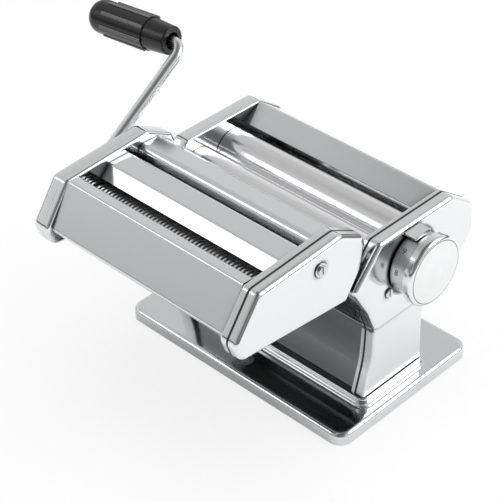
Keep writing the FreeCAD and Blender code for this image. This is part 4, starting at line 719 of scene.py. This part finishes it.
# Painted shade: the cutter sheets darken where other parts lie within 6 mm, as in the slots beside the
# rollers.
guide_crease_shade = {"Reach": 0.006, "Shaded": 0.55, "Unshaded": 0.90}

guide_steel = polished("guide_steel", guide_tones, roughness=0.15, haze=0.06, stretch=along_x,
                       crease_shade=guide_crease_shade)
dress(guide_steel, "cutter_front_panel", "cutter_divider", "cutter_rear_panel")


# Fittings of the cutter head: drawn ties, hanging studs and posts, nylon bushes, and plated screws
# and washers. They hold its plates and covers together, and are made like the ones in the body.
dress(rod_steel, "cutter_tie_rods", "cutter_studs")
dress(nylon, "cutter_bushes")
dress(post_steel, "cutter_posts")
dress(screw_zinc, "cutter_screws", "cutter_washers")


# Combs: four black moulded strips, fixed between the end plates beside the cutting rollers.
# Their tines stand in the rollers' grooves and keep them clear.
dress(scraper_plastic, "fine_comb_front", "fine_comb_rear", "wide_comb_front", "wide_comb_rear")


# Cutting rollers: steel bars turned into rows of rings that interleave with the next roller's.
# The rings are satin, and each roller has a sintered gear pressed on its end.
ring_tones = ((0.82, 0.825, 0.83, 1.0), (0.92, 0.925, 0.93, 1.0))

for name in ("fine_roller_front", "fine_roller_rear", "wide_roller_front", "wide_roller_rear"):
    axle = middle(name)
    dress(lathed(name + "_steel", ring_tones, roughness=0.40, spread=0.10, axis_y=axle.y, axis_z=axle.z,
                 rings=1200.0), name)
dress(gear_steel, "fine_gear_front", "fine_gear_rear", "wide_gear_front", "wide_gear_rear")


# Crank: a round bar of bright chromed steel bent twice, with a thin blackened washer behind the grip.
# The bar was drawn and then plated, so it is bright, with a soft shine, and it gets no painted shade in its
# creases.
crank_tones = ((0.84, 0.85, 0.86, 1.0), (0.90, 0.905, 0.91, 1.0))
washer_tones = ((0.020, 0.020, 0.022, 1.0), (0.040, 0.040, 0.042, 1.0))
chrome_grain = (1500.0, 1500.0, 1500.0)
no_crease_shade = {"Reach": 0.0001, "Shaded": 0.0, "Unshaded": 0.01}

crank_chrome = polished("crank_chrome", crank_tones, roughness=0.26, haze=0.04, stretch=chrome_grain,
                        wave=0.00001, scratch=0.0, crease_shade=no_crease_shade)
dress(crank_chrome, "crank_rod")
dress(polished("washer_black", washer_tones, roughness=0.35, haze=0.10, stretch=along_z), "grip_washer")


# Grip: a black moulded sleeve with eight raised ribs and a smooth neck, free to turn on the crank.
# The moulding is satin, and a pale band painted along the sides and crests of its ribs stands in for their
# highlights.
grip_tones = ((0.004, 0.004, 0.005, 1.0), (0.012, 0.012, 0.013, 1.0))
# Painted highlight: a pale tone laid on the ribs by their distance from the grip's axis.
rib_highlight_tone = (0.24, 0.24, 0.245, 1.0)
rib_foot = 0.0116
rib_crest = 0.0124
rib_highlight_stops = ((0.0, 0.0), (0.55, 1.0), (1.0, 0.45))

grip_plastic = moulded("grip_plastic", grip_tones, roughness=0.24, spread=0.12, scale=1800.0, depth=0.00005)
spin = next(joint for joint in frame["joints"] if joint["name"] == "grip_spin")
tree = grip_plastic.node_tree
height = add_node(tree, "ShaderNodeMapRange", {"From Min": rib_foot, "From Max": rib_crest})
tree.links.new(axis_distance(tree, spin["pos_m"], spin["axis"]), height.inputs["Value"])
rib_highlight = add_node(tree, "ShaderNodeValToRGB")
set_stops(rib_highlight, rib_highlight_stops)
tree.links.new(height.outputs[0], rib_highlight.inputs[0])
overlaid(grip_plastic, rib_highlight_tone, rib_highlight.outputs[0])
dress(grip_plastic, "crank_grip")
